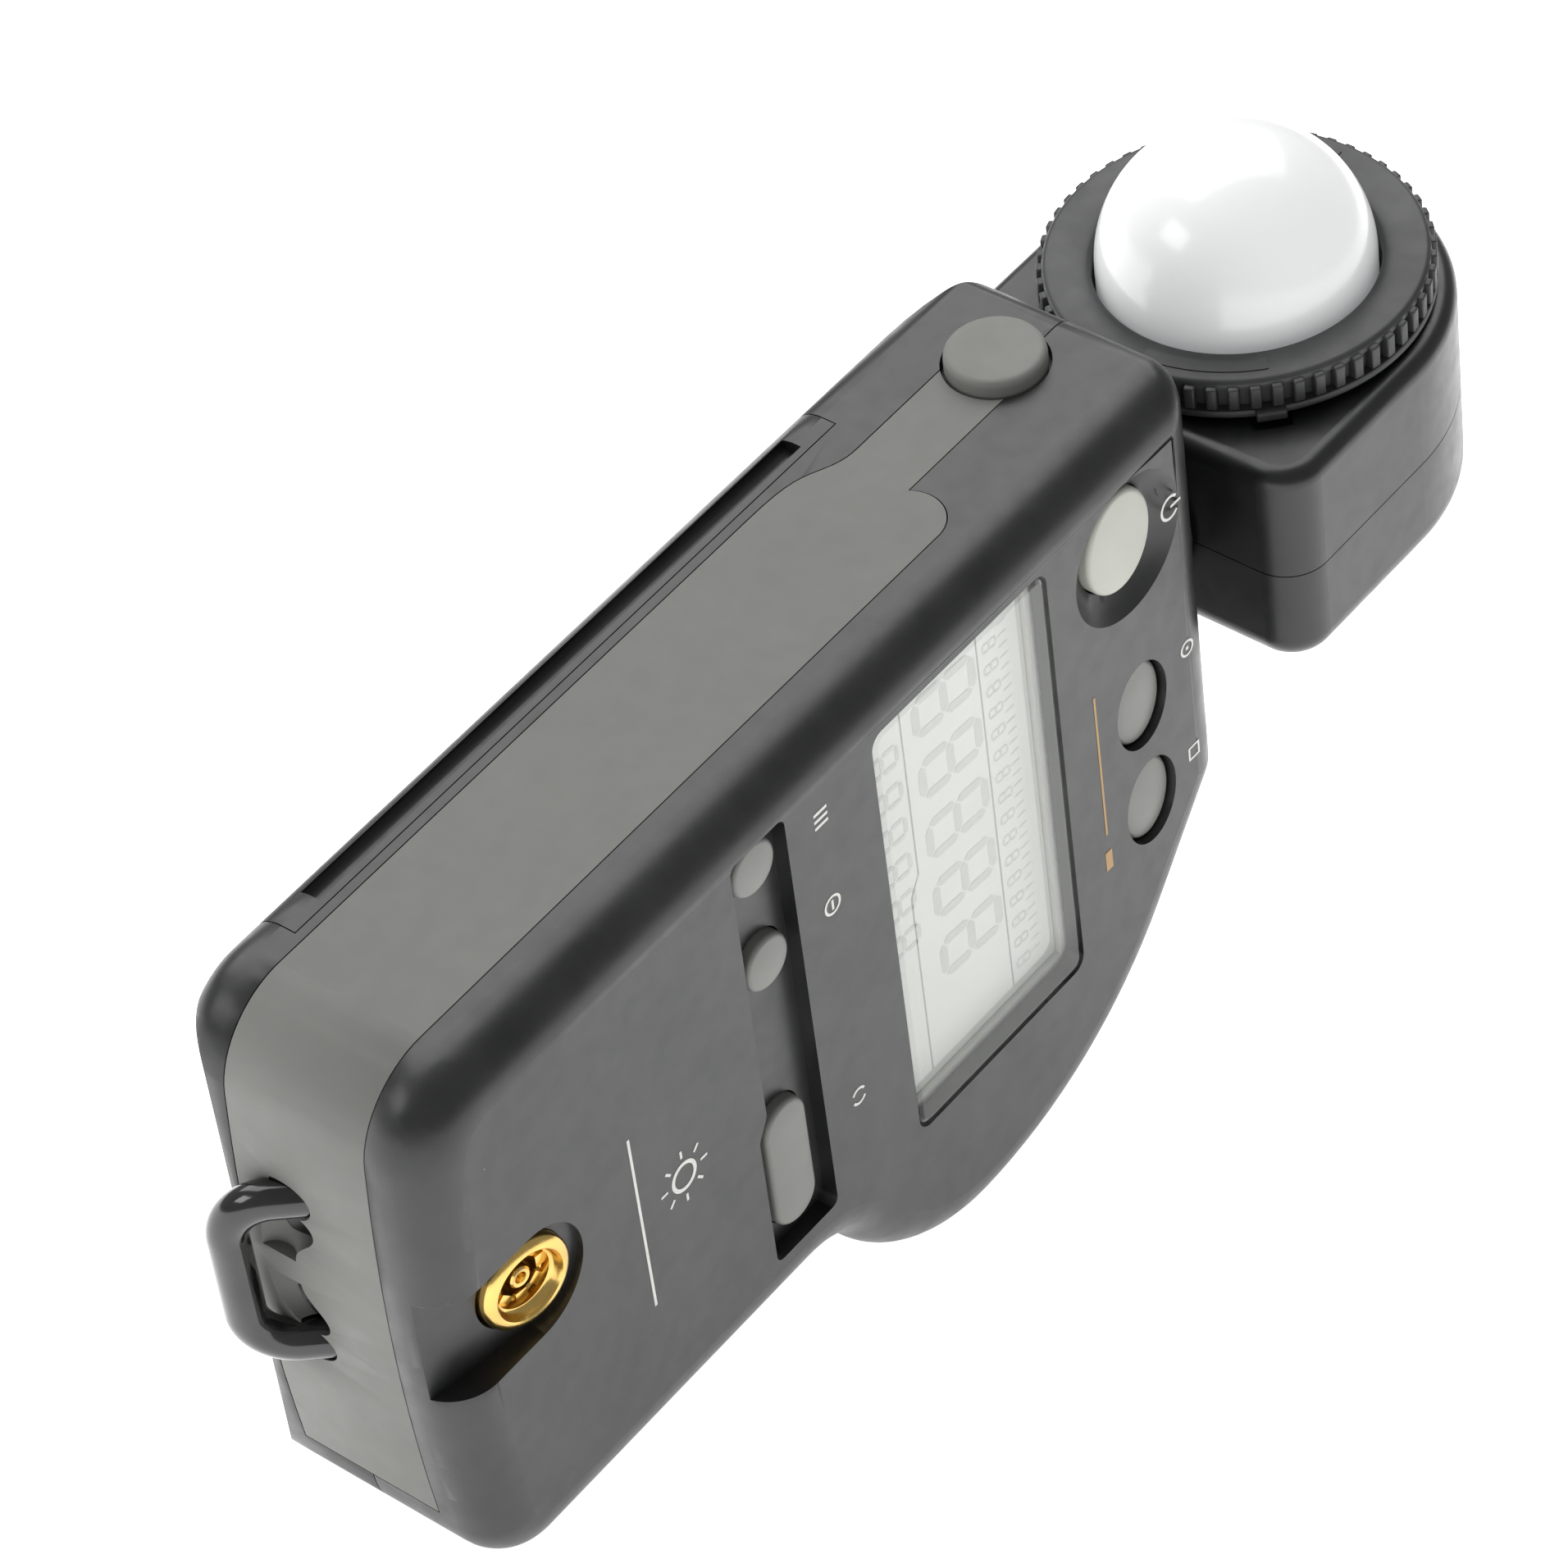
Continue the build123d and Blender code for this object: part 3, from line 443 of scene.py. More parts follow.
def flat_shape(points, low, high):
    """A thin plate from an outline in the xy plane."""
    rows = [[(x, y, low) for x, y in points], [(x, y, high) for x, y in points]]
    n = len(points)
    faces = [tuple(range(n)), tuple(range(2 * n - 1, n - 1, -1))]
    faces += [(k, (k + 1) % n, n + (k + 1) % n, n + k) for k in range(n)]
    return tidy(new_mesh("plate", rows[0] + rows[1], faces))


def moved(mesh, matrix):
    mesh.transform(matrix)
    return mesh


def joined(meshes):
    """One mesh out of several."""
    bm = bmesh.new()
    for mesh in meshes:
        bm.from_mesh(mesh)
    whole = bpy.data.meshes.new("joined")
    bm.to_mesh(whole)
    bm.free()
    return whole


def piece(name, mesh, body, finish, replaces=(), sharp=32.0):
    """Makes a finished piece: into the frame's metres, smooth up to an angle, riding on its body."""
    mesh = mesh.copy()
    mesh.transform(BODY)
    mesh.name = name
    mesh.materials.clear()
    mesh.materials.append(look(finish))
    for polygon in mesh.polygons:
        polygon.use_smooth = True
        polygon.material_index = 0
    mesh.set_sharp_from_angle(angle=math.radians(sharp))
    made = bpy.data.objects.new(name, mesh)
    bpy.context.scene.collection.objects.link(made)
    if replaces:
        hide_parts(*replaces)
    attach(made, body)
    return made


# ---------------------------------------------------------------- Geometry Nodes
def node_tree(name, sockets):
    tree = bpy.data.node_groups.new(name, "GeometryNodeTree")
    for label, kind in sockets:
        tree.interface.new_socket(label, in_out="INPUT", socket_type=kind)
    tree.interface.new_socket("Geometry", in_out="OUTPUT", socket_type="NodeSocketGeometry")
    return tree, add(tree, "NodeGroupInput").outputs


def finish_tree(tree, geometry, material_socket):
    """Every tree ends in Realize Instances and Set Material."""
    solid = add(tree, "GeometryNodeRealizeInstances", {"Geometry": geometry}).outputs[0]
    dressed = add(tree, "GeometryNodeSetMaterial", {"Geometry": solid, "Material": material_socket})
    add(tree, "NodeGroupOutput", {"Geometry": dressed.outputs[0]})
    return tree


def circle_tree():
    """Copies of one element, evenly round a circle, each turned to face out."""
    tree, given = node_tree("Repeat round a circle", [
        ("Element", "NodeSocketObject"), ("Count", "NodeSocketInt"), ("Radius", "NodeSocketFloat"),
        ("Material", "NodeSocketMaterial")])
    ring = add(tree, "GeometryNodeMeshCircle", {"Vertices": given["Count"], "Radius": given["Radius"]})
    step = add(tree, "ShaderNodeMath", {0: math.tau, 1: given["Count"]}, operation="DIVIDE").outputs[0]
    index = add(tree, "GeometryNodeInputIndex").outputs[0]
    angle = add(tree, "ShaderNodeMath", {0: index, 1: step}, operation="MULTIPLY").outputs[0]
    turn = add(tree, "ShaderNodeCombineXYZ", {"Z": angle}).outputs[0]
    shape = add(tree, "GeometryNodeObjectInfo", {"Object": given["Element"]}).outputs["Geometry"]
    copies = add(tree, "GeometryNodeInstanceOnPoints", {
        "Points": ring.outputs["Mesh"], "Instance": shape, "Rotation": turn})
    return finish_tree(tree, copies.outputs[0], given["Material"])


def grid_tree():
    """Copies of one element in rows and columns."""
    tree, given = node_tree("Repeat in rows", [
        ("Element", "NodeSocketObject"), ("Columns", "NodeSocketInt"), ("Rows", "NodeSocketInt"),
        ("Width", "NodeSocketFloat"), ("Height", "NodeSocketFloat"), ("Material", "NodeSocketMaterial")])
    net = add(tree, "GeometryNodeMeshGrid", {
        "Size X": given["Width"], "Size Y": given["Height"], "Vertices X": given["Columns"],
        "Vertices Y": given["Rows"]})
    shape = add(tree, "GeometryNodeObjectInfo", {"Object": given["Element"]}).outputs["Geometry"]
    copies = add(tree, "GeometryNodeInstanceOnPoints", {"Points": net.outputs["Mesh"], "Instance": shape})
    return finish_tree(tree, copies.outputs[0], given["Material"])


def rod_tree():
    """A round rod along a path."""
    tree, given = node_tree("Rod along a path", [
        ("Path", "NodeSocketObject"), ("Radius", "NodeSocketFloat"), ("Material", "NodeSocketMaterial")])
    path = add(tree, "GeometryNodeObjectInfo", {"Object": given["Path"]}).outputs["Geometry"]
    line = add(tree, "GeometryNodeMeshToCurve", {"Mesh": path}).outputs[0]
    section = add(tree, "GeometryNodeCurvePrimitiveCircle", {"Resolution": 40, "Radius": given["Radius"]})
    rod = add(tree, "GeometryNodeCurveToMesh", {
        "Curve": line, "Profile Curve": section.outputs["Curve"], "Fill Caps": True})
    return finish_tree(tree, rod.outputs[0], given["Material"])


def grown(maker, values):
    """Runs a Geometry Nodes tree once and gives back its result as a plain mesh."""
    tree = maker()
    carrier = bpy.data.objects.new("carrier", bpy.data.meshes.new("carrier"))
    bpy.context.scene.collection.objects.link(carrier)
    modifier = carrier.modifiers.new("grow", "NODES")
    modifier.node_group = tree
    names = {s.name: s.identifier for s in tree.interface.items_tree if s.in_out == "INPUT"}
    for label, value in values.items():
        modifier[names[label]] = value
    bpy.context.view_layer.update()
    graph = bpy.context.evaluated_depsgraph_get()
    mesh = bpy.data.meshes.new_from_object(carrier.evaluated_get(graph))
    bpy.data.objects.remove(carrier)
    if not mesh.polygons:
        raise RuntimeError(f"{tree.name} grew nothing")
    return mesh


def element(mesh):
    """A loose object for a tree to copy."""
    made = bpy.data.objects.new("element", mesh)
    bpy.context.scene.collection.objects.link(made)
    return made


def repeated(maker, mesh, **values):
    source = element(mesh)
    result = grown(maker, {"Element": source, **values})
    bpy.data.objects.remove(source)
    return result


# ---------------------------------------------------------------- pieces
RING_AT = (136.4, 0.0, -14.6)
RING_FACE = -11.4
TO_RING = Matrix.Translation(Vector(RING_AT)) @ Matrix.Rotation(math.radians(-90), 4, "X")


def build_ring():
    """Toothed bayonet ring, with its two plain raised tabs and index lug."""
    opts = bpy.context.scene.meter_ring
    deep, wide = opts.tooth_depth * MM, opts.tooth_width * MM
    rim = 18.95
    profile = [(13.75, -15.5), (13.75, -12.3), (13.85, -11.95), (14.15, -11.7), (14.5, -11.62), (15.0, -11.44),
               (17.8, -11.42), (18.1, -11.5), (rim - 0.6, -11.75), (rim - 0.55, -12.0), (rim - 0.6, -12.4),
               (rim - deep, -12.5), (rim - deep, -14.5), (rim - 0.15, -14.62), (rim - 0.05, -14.75),
               (rim - 0.05, -15.3), (rim - 0.25, -15.5)]
    ring = lathe(profile, RING_AT, (0, 1, 0), 228)
    length = deep + 0.3
    tooth = moved(soft_block((length, wide, 2.8), 0.16, 3, 0.86), Matrix.Translation((-length / 2, 0, 0)))
    teeth = repeated(circle_tree, tooth, Count=opts.teeth, Radius=rim - 0.02, Material=look("ring_plastic"))
    moved(teeth, Matrix.Translation((0, -13.25, 0)) @ TO_RING)
    lug = moved(soft_block((1.7, 2.9, 1.0), 0.18), Matrix.Translation((18.8, 0, 0)))
    lug_turn = Matrix.Translation((0, -15.0, 0)) @ TO_RING @ Matrix.Rotation(math.radians(225), 4, "Z")
    moved(lug, lug_turn)
    tabs = []
    for middle in (math.radians(205), math.radians(20)):
        half = math.radians(21)
        outer = [(16.95 * math.cos(middle + half * t), 16.95 * math.sin(middle + half * t))
                 for t in [k / 24 * 2 - 1 for k in range(25)]]
        inner = [(15.45 * math.cos(middle + half * t), 15.45 * math.sin(middle + half * t))
                 for t in [1 - k / 24 * 2 for k in range(25)]]
        tab_place = Matrix.Translation((0, RING_FACE, 0)) @ TO_RING
        tabs.append(moved(flat_shape(outer + inner, -0.02, 0.07), tab_place))
    whole = joined([ring, teeth, lug, *tabs])
    piece("ring_toothed", whole, "diffuser", "ring_plastic", ["diffuser_ring"], 38)


def build_dome():
    """Opal dome with its rim."""
    opts = bpy.context.scene.meter_dome
    radius, wall = opts.radius * MM, opts.wall * MM
    height = RING_FACE - 0.6
    outer = [(radius * math.cos(math.radians(a)), height + radius * math.sin(math.radians(a)))
             for a in range(0, 91, 3)]
    inner = [((radius - wall) * math.cos(math.radians(a)), height + (radius - wall) * math.sin(math.radians(a)))
             for a in range(90, -1, -5)]
    profile = [(radius, height - 2.3), *outer, *inner, (radius - wall, height - 2.3)]
    mesh = lathe([(max(r, 0.0), h) for r, h in profile], RING_AT, (0, 1, 0), 144)
    piece("dome_opal", mesh, "diffuser", "opal", ["diffuser_dome"], 60)


def key_mesh(node, corner=None, top=None):
    """Key cap with a rounded rim and a slightly crowned face, standing where the CAD key stands."""
    opts = bpy.context.scene.meter_keys
    low, high = local_box(node)
    half_x, half_y = (high.x - low.x) / 2 - 0.7, (high.y - low.y) / 2 - 0.7
    middle = (low + high) / 2
    top = high.z if top is None else top
    edge, crown = opts.edge * MM, opts.crown * MM
    rows = [(0, low.z + 2.0), (0, top - edge)]
    rows += [(edge * (1 - math.cos(math.radians(a))), top - edge + edge * math.sin(math.radians(a)))
             for a in (20, 40, 60, 75, 88)]
    least = min(half_x, half_y)
    rows += [(edge + (least - edge) * f, top + crown * (1 - (1 - f) ** 2)) for f in (0.15, 0.35, 0.6, 0.85)]
    rings = []
    for inset, z in rows:
        r = None if corner is None else max(corner - inset, 0.02)
        rings.append([(middle.x + x, middle.y + y, z) for x, y in outline(half_x - inset, half_y - inset, r)])
    return loft(rings)


def build_keys():
    """The six front keys and the measuring key."""
    for name in ("power", "ambient", "memory", "iso", "value"):
        finish = "key_light" if name == "power" else "key_grey"
        piece(f"{name}_cap", key_mesh(f"{name}_button"), f"{name}_key", finish, [f"{name}_button"], 50)
    low, high = local_box("mode_button")
    corner = (high.x - low.x) / 2 - 0.72
    piece("mode_cap", key_mesh("mode_button", corner), "mode_key", "key_grey", ["mode_button"], 50)
    low, high = local_box("measuring_button")
    centre = ((low.x + high.x) / 2, 0, (low.z + high.z) / 2)
    radius, top = (high.x - low.x) / 2, high.y
    profile = [(0.0, top - 0.12), (radius * 0.35, top - 0.11), (radius * 0.7, top - 0.06), (radius - 0.75, top),
               (radius - 0.45, top - 0.04), (radius - 0.2, top - 0.2), (radius - 0.05, top - 0.45),
               (radius, top - 0.8), (radius, -0.7), (2.2, -0.7), (2.2, low.y), (0.0, low.y)]
    mesh = lathe(profile, centre, (0, 1, 0), 96, closed=False)
    piece("measuring_cap", mesh, "measuring_key", "strip_key", ["measuring_button"], 50)


def build_window():
    """Clear lens with a polished bevel and small round corners."""
    bevel = bpy.context.scene.meter_display.bevel * MM
    low, high = local_box("display_window")
    half_x, half_y = (high.x - low.x) / 2, (high.y - low.y) / 2
    middle = (low + high) / 2
    rows = []
    for inset, z in ((0, low.z), (0, high.z - bevel), (bevel * 0.35, high.z - bevel * 0.3), (bevel, high.z),
                     (bevel + 6, high.z + 0.02)):
        ring = outline(half_x - inset, half_y - inset, max(1.6 - inset, 0.15), 96)
        rows.append([(middle.x + x, middle.y + y, z) for x, y in ring])
    piece("window_lens", loft(rows), "housing", "window", ["display_window"], 20)


def segment(length, thick):
    """One bar of a digit: a long hexagon."""
    h = thick / 2
    return [(-length / 2, 0), (-length / 2 + h, h), (length / 2 - h, h), (length / 2, 0), (length / 2 - h, -h),
            (-length / 2 + h, -h)]


def digit(height):
    """Seven bars as a figure eight, leaning a little, drawn with its top towards the head."""
    thick, half = height * 0.13, height / 2
    bars = []
    for y in (-half, 0, half):
        bars.append([(px, py + y) for px, py in segment(half * 0.92, thick)])
    for x in (-half / 2, half / 2):
        for y in (-half / 2, half / 2):
            bars.append([(x + py, y + px) for px, py in segment(half * 0.92, thick)])
    plates = []
    for bar in bars:
        lean = [(y, -(x + y * 0.08)) for x, y in bar]
        plates.append(flat_shape(lean, 0.0, 0.03))
    return joined(plates)


def build_display():
    """What is printed on the liquid crystal: unlit digits, a scale of ticks and two rules."""
    opts = bpy.context.scene.meter_display
    low, high = local_box("display_panel")
    middle = (low + high) / 2
    face = high.z
    tall = opts.digit_height * MM
    ghost = look("ghost")
    big = repeated(grid_tree, digit(tall), Columns=1, Rows=5, Width=0.0, Height=31.0, Material=ghost)
    moved(big, Matrix.Translation((middle.x + 0.6, middle.y + 3.0, face)))
    small = repeated(grid_tree, digit(tall * 0.52), Columns=1, Rows=6, Width=0.0, Height=23.0, Material=ghost)
    moved(small, Matrix.Translation((middle.x - 8.6, middle.y + 6.0, face)))
    tick = flat_shape([(-0.6, -0.09), (0.6, -0.09), (0.6, 0.09), (-0.6, 0.09)], 0.0, 0.03)
    ticks = repeated(grid_tree, tick, Columns=1, Rows=33, Width=0.0, Height=44.0, Material=ghost)
    moved(ticks, Matrix.Translation((middle.x + 9.3, middle.y, face)))
    figures = repeated(grid_tree, digit(1.9), Columns=1, Rows=17, Width=0.0, Height=44.0, Material=ghost)
    moved(figures, Matrix.Translation((middle.x + 7.4, middle.y, face)))
    piece("display_digits", joined([big, small, ticks, figures]), "housing", "ghost", (), 20)
    left, right = high.y - 1.0, low.y + 1.0
    x1, x2 = middle.x + 5.6, middle.x - 5.6
    half = 0.09
    straight = [(x1 - half, left), (x1 + half, left), (x1 + half, right), (x1 - half, right)]
    rules = [flat_shape(straight, 0, 0.03)]
    jog = [(x2, left), (x2, 1.0), (x2 - 1.3, -1.0), (x2 - 1.3, right)]
    path = [(x, y + (middle.y if 0 < k < 3 else 0)) for k, (x, y) in enumerate(jog)]
    line = [(x + half, y) for x, y in path] + [(x - half, y) for x, y in reversed(path)]
    rules.append(flat_shape(line, 0, 0.03))
    lift = Matrix.Translation((0, 0, face))
    piece("display_rules", moved(joined(rules), lift), "housing", "rule", (), 20)


def socket_matrix():
    """The flash socket's own axes, in the body's millimetres: z out of its mouth."""
    mount = MOUNTS["sync_terminal"]
    out = (UNBODY.to_3x3() @ Vector(mount["axis"])).normalized()
    side = Vector((0, 1, 0))
    along = side.cross(out)
    whole = Matrix((along, side, out)).transposed().to_4x4()
    whole.translation = UNBODY @ Vector(mount["pos_m"])
    return whole


def build_terminal():
    """Gold flash socket: bevelled flange, stepped well, sprung fingers and a hollow centre contact."""
    here = socket_matrix()
    profile = [(4.85, -5.5), (4.85, -0.35), (4.75, -0.1), (4.5, 0.12), (4.1, 0.34), (3.85, 0.4), (3.7, 0.32),
               (3.55, 0.0), (3.4, -0.5), (3.2, -0.75), (3.05, -0.8), (2.9, -1.6), (2.62, -1.8), (2.6, -4.6),
               (1.2, -4.6), (1.2, -5.5)]
    barrel = moved(lathe(profile, (0, 0, 0), (0, 0, 1), 128), here)
    finger = moved(soft_block((1.1, 1.35, 2.6), 0.12, 2), Matrix.Translation((-0.62, 0, -2.6)))
    count = bpy.context.scene.meter_terminal.fingers
    fingers = moved(repeated(circle_tree, finger, Count=count, Radius=3.15, Material=look("gold")), here)
    piece("socket_barrel", joined([barrel, fingers]), "housing", "gold", ["sync_barrel"], 35)
    tube = [(0.5, -1.2), (0.62, -1.0), (0.95, -0.95), (1.12, -1.1), (1.15, -1.4), (1.15, -4.4), (0.5, -4.4)]
    contact = moved(lathe(tube, (0, 0, 0), (0, 0, 1), 64), here)
    piece("socket_contact", contact, "housing", "gold", ["sync_contact"], 35)


def build_loop():
    """Strap loop: a moulded rod bent into a flat D, its legs run down to a foot inside the shells."""
    radius = bpy.context.scene.meter_strap.rod * MM
    root, lean = (0.2, -27.0, -17.6), math.radians(50)
    place = Matrix.Translation(root) @ Matrix.Rotation(-lean, 4, "Y")
    half, bend, corner, foot_x = 9.3, -0.5, 4.5, 8.25
    foot_size, foot_edge = (2.4, 23.4, 4.2), 0.4
    turn = [math.radians(a) for a in range(0, 91, 5)]
    arc = [(bend - corner * math.sin(a), half - corner + corner * math.cos(a), 0) for a in turn]
    path = [(foot_x, half, 0), (foot_x / 2, half, 0)] + arc
    path += [(x, -y, z) for x, y, z in reversed(path)]
    mesh = bpy.data.meshes.new("path")
    mesh.from_pydata(path, [(k, k + 1) for k in range(len(path) - 1)], [])
    source = element(mesh)
    rod = grown(rod_tree, {"Path": source, "Radius": radius, "Material": look("eyelet_black")})
    bpy.data.objects.remove(source)
    foot = moved(soft_block(foot_size, foot_edge), Matrix.Translation((foot_x, 0, 0)))
    whole = moved(joined([rod, foot]), place)
    piece("strap_loop", whole, "housing", "eyelet_black", ["strap_eyelet"], 40)


def ring_plate(radius, width, start=0.0, end=360.0, low=0.0, high=0.03, steps=40):
    """A flat ring or arc."""
    angles = [math.radians(start + (end - start) * k / steps) for k in range(steps + 1)]
    outer = [((radius + width / 2) * math.cos(a), (radius + width / 2) * math.sin(a)) for a in angles]
    inner = [((radius - width / 2) * math.cos(a), (radius - width / 2) * math.sin(a)) for a in reversed(angles)]
    if end - start >= 360:
        halves = [ring_plate(radius, width, start, start + 180, low, high, steps // 2),
                  ring_plate(radius, width, start + 180, start + 360, low, high, steps // 2)]
        return joined(halves)
    return flat_shape(outer + inner, low, high)


def bar(x0, y0, x1, y1, high=0.03):
    return flat_shape([(x0, y0), (x1, y0), (x1, y1), (x0, y1)], 0.0, high)


def build_marks():
    """Plain printed symbols beside the keys: no lettering."""
    def at(mesh, x, y):
        return moved(mesh, Matrix.Translation((x, y, 0.0)))
    ray = bar(-0.45, -0.14, 0.45, 0.14)
    sun = joined([ring_plate(1.5, 0.42),
                  repeated(circle_tree, ray, Count=8, Radius=2.75, Material=look("white_ink"))])
    marks = [
        at(joined([ring_plate(1.25, 0.3, 40, 320), bar(0.1, -0.15, 1.6, 0.15)]), 105.6, -12.6),
        at(joined([ring_plate(0.85, 0.26), bar(-0.2, -0.2, 0.2, 0.2)]), 106.4, -31.2),
        at(joined([bar(-0.85, -0.85, 0.85, -0.6), bar(-0.85, 0.6, 0.85, 0.85), bar(-0.85, -0.6, -0.6, 0.6),
                   bar(0.6, -0.6, 0.85, 0.6)]), 106.2, -44.6),
        at(joined([bar(-0.9, k - 0.17, 0.9, k + 0.17) for k in (-0.8, 0.0, 0.8)]), 54.4, -8.6),
        at(joined([ring_plate(1.0, 0.28), bar(-0.14, -0.6, 0.14, 0.6)]), 54.4, -19.6),
        at(joined([ring_plate(0.9, 0.28, 30, 150), ring_plate(0.9, 0.28, 210, 330)]), 54.4, -44.8),
        at(sun, 31.0, -33.4),
        at(bar(-0.16, -11.0, 0.16, 11.0), 25.0, -34.0),
    ]
    piece("white_marks", joined(marks), "housing", "white_ink", (), 20)
    gold = [at(bar(-0.14, -9.0, 0.14, 9.0), 92.4, -35.0), at(bar(-0.5, -1.2, 0.5, 1.2), 92.4, -47.4)]
    piece("gold_marks", joined(gold), "housing", "gold_ink", (), 20)


def finish_cad():
    """Gives every CAD part its finish, with a fine rounded edge where it shows."""
    slots = {s["node"]: s["material_slot"] for s in frame["record"]["subparts"]}
    rounded = ("front_shell", "rear_cover", "battery_door", "side_strip", "adjust_rocker", "neck_bearing",
               "neck_shaft")
    edge_width = 0.00018
    for name, node in frame["nodes"].items():
        if not node.material_slots:
            raise RuntimeError(f"{name} has no material slot")
        for one in node.material_slots:
            one.link = "OBJECT"
            one.material = look(slots[name])
        if name in rounded and not node.hide_render:
            weld = node.modifiers.new("weld", "WELD")
            weld.merge_threshold = 1e-6
            edge = node.modifiers.new("edge", "BEVEL")
            edge.width = edge_width
            edge.segments = 2
            edge.limit_method = "ANGLE"
            edge.angle_limit = math.radians(40)
            edge.harden_normals = True


def build_stage():
    """Pale seamless floor, soft light from the upper left, and the camera at the photograph's angle."""
    opts = bpy.context.scene.meter_stage
    low, high = (Vector(v) for v in CAD_BOX)
    size = 6.0
    points = []
    for k in range(3):
        points += [(-size, (-1, 0, 1)[k] * size, 0.0), (size, (-1, 0, 1)[k] * size, 0.0)]
    mesh = new_mesh("floor", [(x, y, low.z) for x, y, _ in points], [(0, 1, 3, 2), (2, 3, 5, 4)])
    floor = bpy.data.objects.new("floor", mesh)
    mesh.materials.append(floor_paper("seamless paper, matt white"))
    bpy.context.scene.collection.objects.link(floor)
    world = bpy.data.worlds.new("soft white room")
    world.use_nodes = True
    world.node_tree.nodes["Background"].inputs[0].default_value = srgb("FFFFFF")
    world.node_tree.nodes["Background"].inputs[1].default_value = 0.32
    bpy.context.scene.world = world
    middle = (low + high) / 2

    def lamp(name, azimuth, elevation, far, wide, watts, colour="FFFFFF"):
        data = bpy.data.lights.new(name, "AREA")
        data.shape = "RECTANGLE"
        data.size, data.size_y, data.energy = wide, wide * 0.7, watts
        data.color = srgb(colour)[:3]
        item = bpy.data.objects.new(name, data)
        a, e = math.radians(azimuth), math.radians(elevation)
        way = Vector((math.sin(a) * math.cos(e), -math.cos(a) * math.cos(e), math.sin(e)))
        item.location = middle + way * far
        item.rotation_euler = way.to_track_quat("Z", "Y").to_euler()
        bpy.context.scene.collection.objects.link(item)

    lamp("overhead softbox", 150, 58, 1.1, 1.6, 13.0)
    lamp("left strip light", -120, 30, 1.2, 0.5, 2.0)
    data = bpy.data.cameras.new("camera")
    data.lens, data.sensor_width = opts.lens, 36.0
    data.clip_start, data.clip_end = 0.05, 50.0
    camera = bpy.data.objects.new("camera", data)
    a, e = opts.azimuth, opts.elevation
    back = Vector((math.sin(a) * math.cos(e), -math.cos(a) * math.cos(e), math.sin(e)))
    aim = Vector(opts.aim)
    turn = back.to_track_quat("Z", "Y").to_matrix() @ Matrix.Rotation(opts.roll, 3, "Z")
    camera.matrix_world = Matrix.Translation(aim + back * opts.distance) @ turn.to_4x4()
    bpy.context.scene.collection.objects.link(camera)
    bpy.context.scene.camera = camera
    bpy.context.scene.view_settings.view_transform = "Standard"


# ---------------------------------------------------------------- operators
class METER_OT_ring(bpy.types.Operator):
    """Builds the toothed bayonet ring"""
    bl_idname = "meter.ring"
    bl_label = "Diffuser ring"
    bl_options = {"REGISTER", "UNDO"}

    def execute(self, context):
        build_ring()
        return {"FINISHED"}


class METER_OT_dome(bpy.types.Operator):
    """Builds the opal dome"""
    bl_idname = "meter.dome"
    bl_label = "Dome"
    bl_options = {"REGISTER", "UNDO"}

    def execute(self, context):
        build_dome()
        return {"FINISHED"}


class METER_OT_keys(bpy.types.Operator):
    """Builds the front keys and the measuring key"""
    bl_idname = "meter.keys"
    bl_label = "Keys"
    bl_options = {"REGISTER", "UNDO"}

    def execute(self, context):
        build_keys()
        return {"FINISHED"}


class METER_OT_window(bpy.types.Operator):
    """Builds the clear lens over the display"""
    bl_idname = "meter.window"
    bl_label = "Window"
    bl_options = {"REGISTER", "UNDO"}

    def execute(self, context):
        build_window()
        return {"FINISHED"}


class METER_OT_display(bpy.types.Operator):
    """Builds the printing on the display"""
    bl_idname = "meter.display"
    bl_label = "Display"
    bl_options = {"REGISTER", "UNDO"}

    def execute(self, context):
        build_display()
        return {"FINISHED"}


class METER_OT_terminal(bpy.types.Operator):
    """Builds the gold flash socket"""
    bl_idname = "meter.terminal"
    bl_label = "Flash socket"
    bl_options = {"REGISTER", "UNDO"}

    def execute(self, context):
        build_terminal()
        return {"FINISHED"}


class METER_OT_strap(bpy.types.Operator):
    """Builds the strap loop"""
    bl_idname = "meter.strap"
    bl_label = "Strap loop"
    bl_options = {"REGISTER", "UNDO"}

    def execute(self, context):
        build_loop()
        return {"FINISHED"}


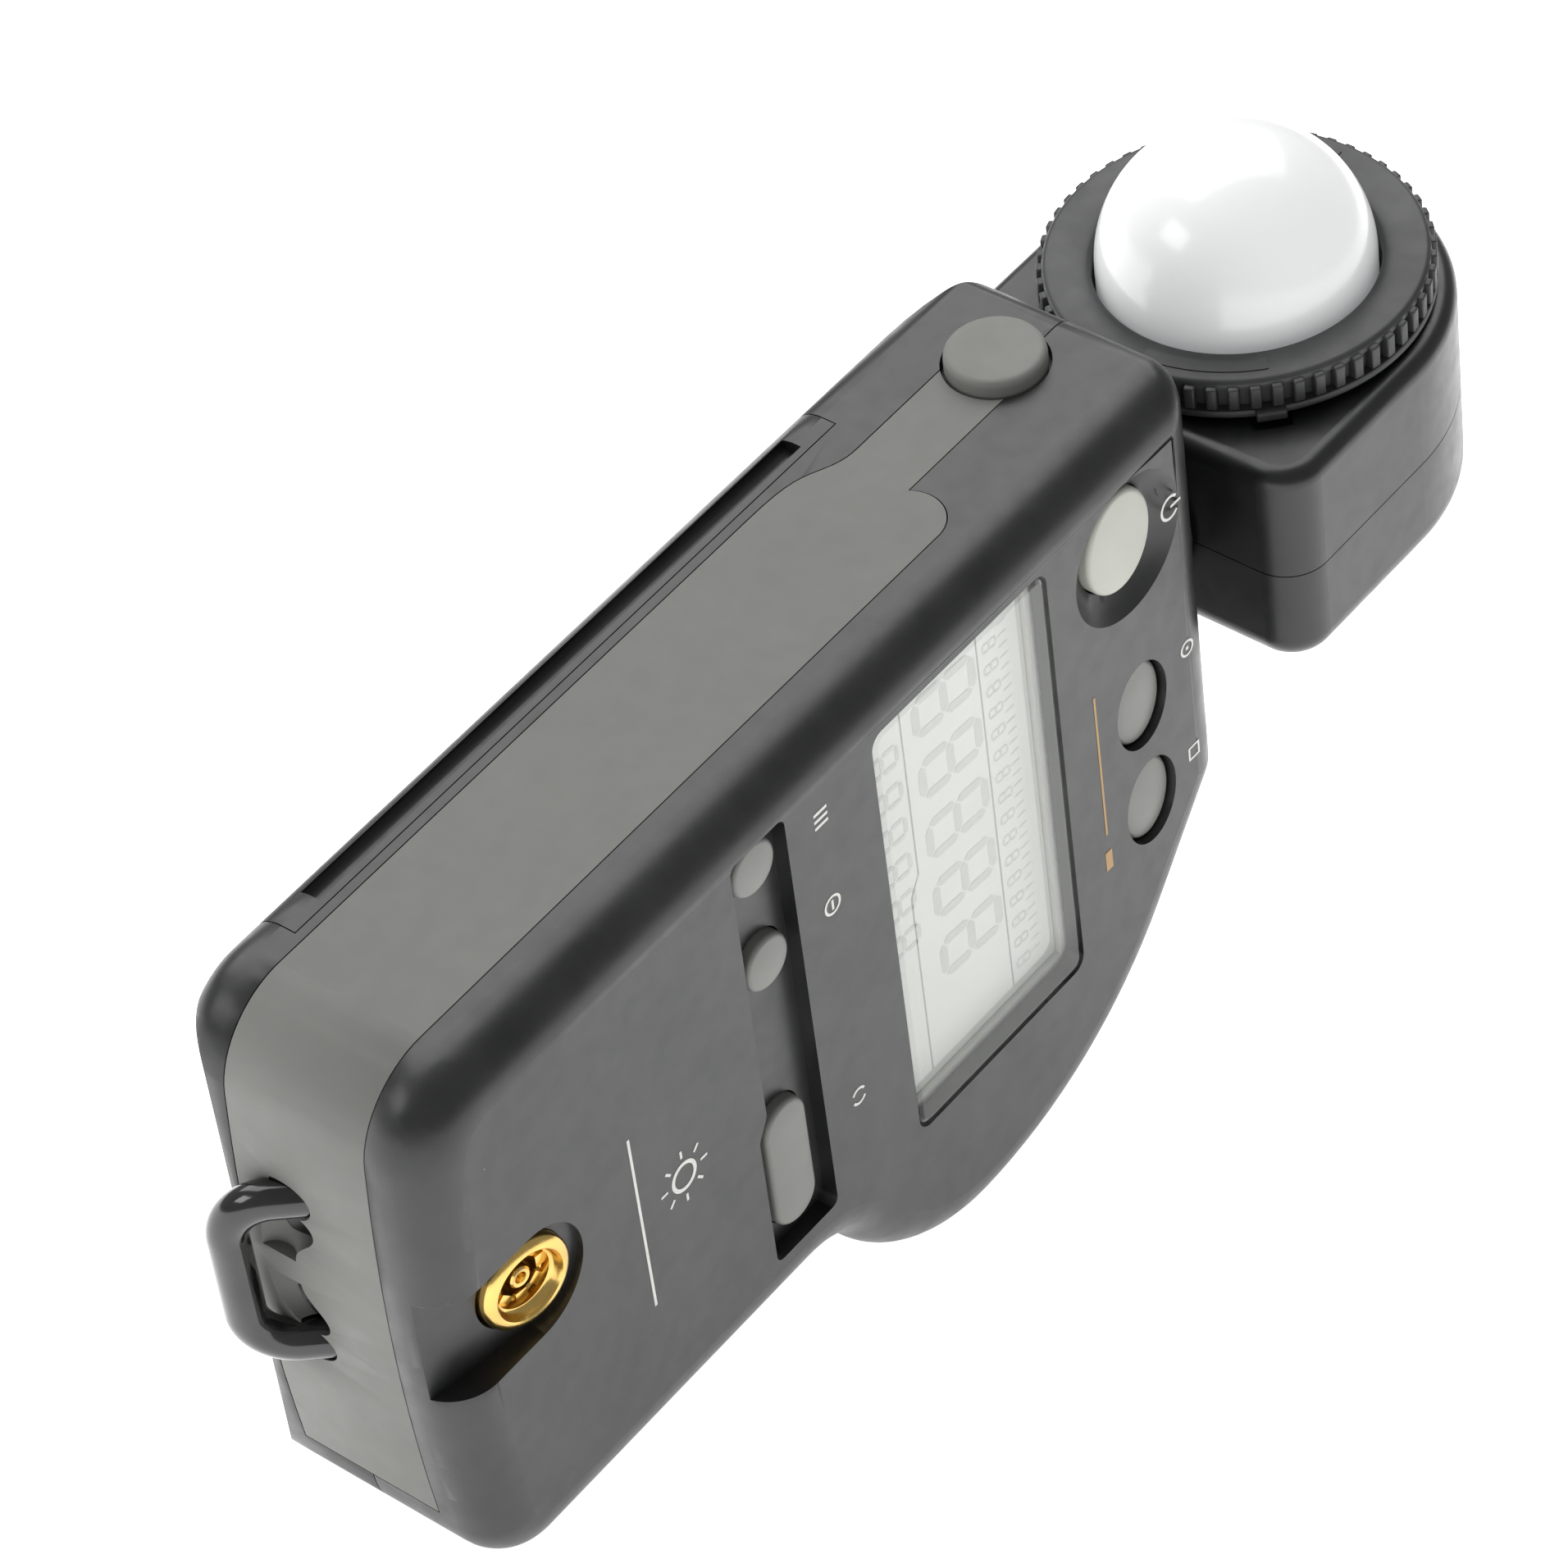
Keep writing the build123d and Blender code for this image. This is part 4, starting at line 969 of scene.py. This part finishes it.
class METER_OT_marks(bpy.types.Operator):
    """Builds the printed symbols"""
    bl_idname = "meter.marks"
    bl_label = "Marks"
    bl_options = {"REGISTER", "UNDO"}

    def execute(self, context):
        build_marks()
        return {"FINISHED"}


class METER_OT_finish(bpy.types.Operator):
    """Gives the CAD parts their finishes"""
    bl_idname = "meter.finish"
    bl_label = "CAD finishes"
    bl_options = {"REGISTER", "UNDO"}

    def execute(self, context):
        finish_cad()
        return {"FINISHED"}


class METER_OT_stage(bpy.types.Operator):
    """Builds the floor, the light and the camera"""
    bl_idname = "meter.stage"
    bl_label = "Stage"
    bl_options = {"REGISTER", "UNDO"}

    def execute(self, context):
        build_stage()
        return {"FINISHED"}


STEPS = [METER_OT_ring, METER_OT_dome, METER_OT_keys, METER_OT_window, METER_OT_display,
         METER_OT_terminal, METER_OT_strap, METER_OT_marks, METER_OT_finish, METER_OT_stage]
SETTINGS = {
    "meter_ring": RingSettings, "meter_dome": DomeSettings, "meter_keys": KeySettings,
    "meter_display": DisplaySettings, "meter_terminal": TerminalSettings, "meter_strap": StrapSettings,
    "meter_stage": StageSettings,
}


class METER_PT_panel(bpy.types.Panel):
    """Lists the meter's pieces and their sizes."""
    bl_label = "Light meter"
    bl_idname = "METER_PT_panel"
    bl_space_type = "VIEW_3D"
    bl_region_type = "UI"
    bl_category = "Light meter"

    def draw(self, context):
        for step in STEPS:
            self.layout.operator(step.bl_idname)
        for name in SETTINGS:
            group = getattr(context.scene, name)
            box = self.layout.box()
            for key in group.bl_rna.properties.keys():
                if key not in ("rna_type", "name"):
                    box.prop(group, key)


def register():
    for name, group in SETTINGS.items():
        bpy.utils.register_class(group)
        setattr(bpy.types.Scene, name, PointerProperty(type=group))
    for step in STEPS:
        bpy.utils.register_class(step)
    bpy.utils.register_class(METER_PT_panel)


def unregister():
    bpy.utils.unregister_class(METER_PT_panel)
    for step in reversed(STEPS):
        bpy.utils.unregister_class(step)
    for name, group in SETTINGS.items():
        delattr(bpy.types.Scene, name)
        bpy.utils.unregister_class(group)


def main():
    register()
    for step in STEPS:
        area, call = step.bl_idname.split(".")
        getattr(getattr(bpy.ops, area), call)()


if __name__ == "__main__":
    main()
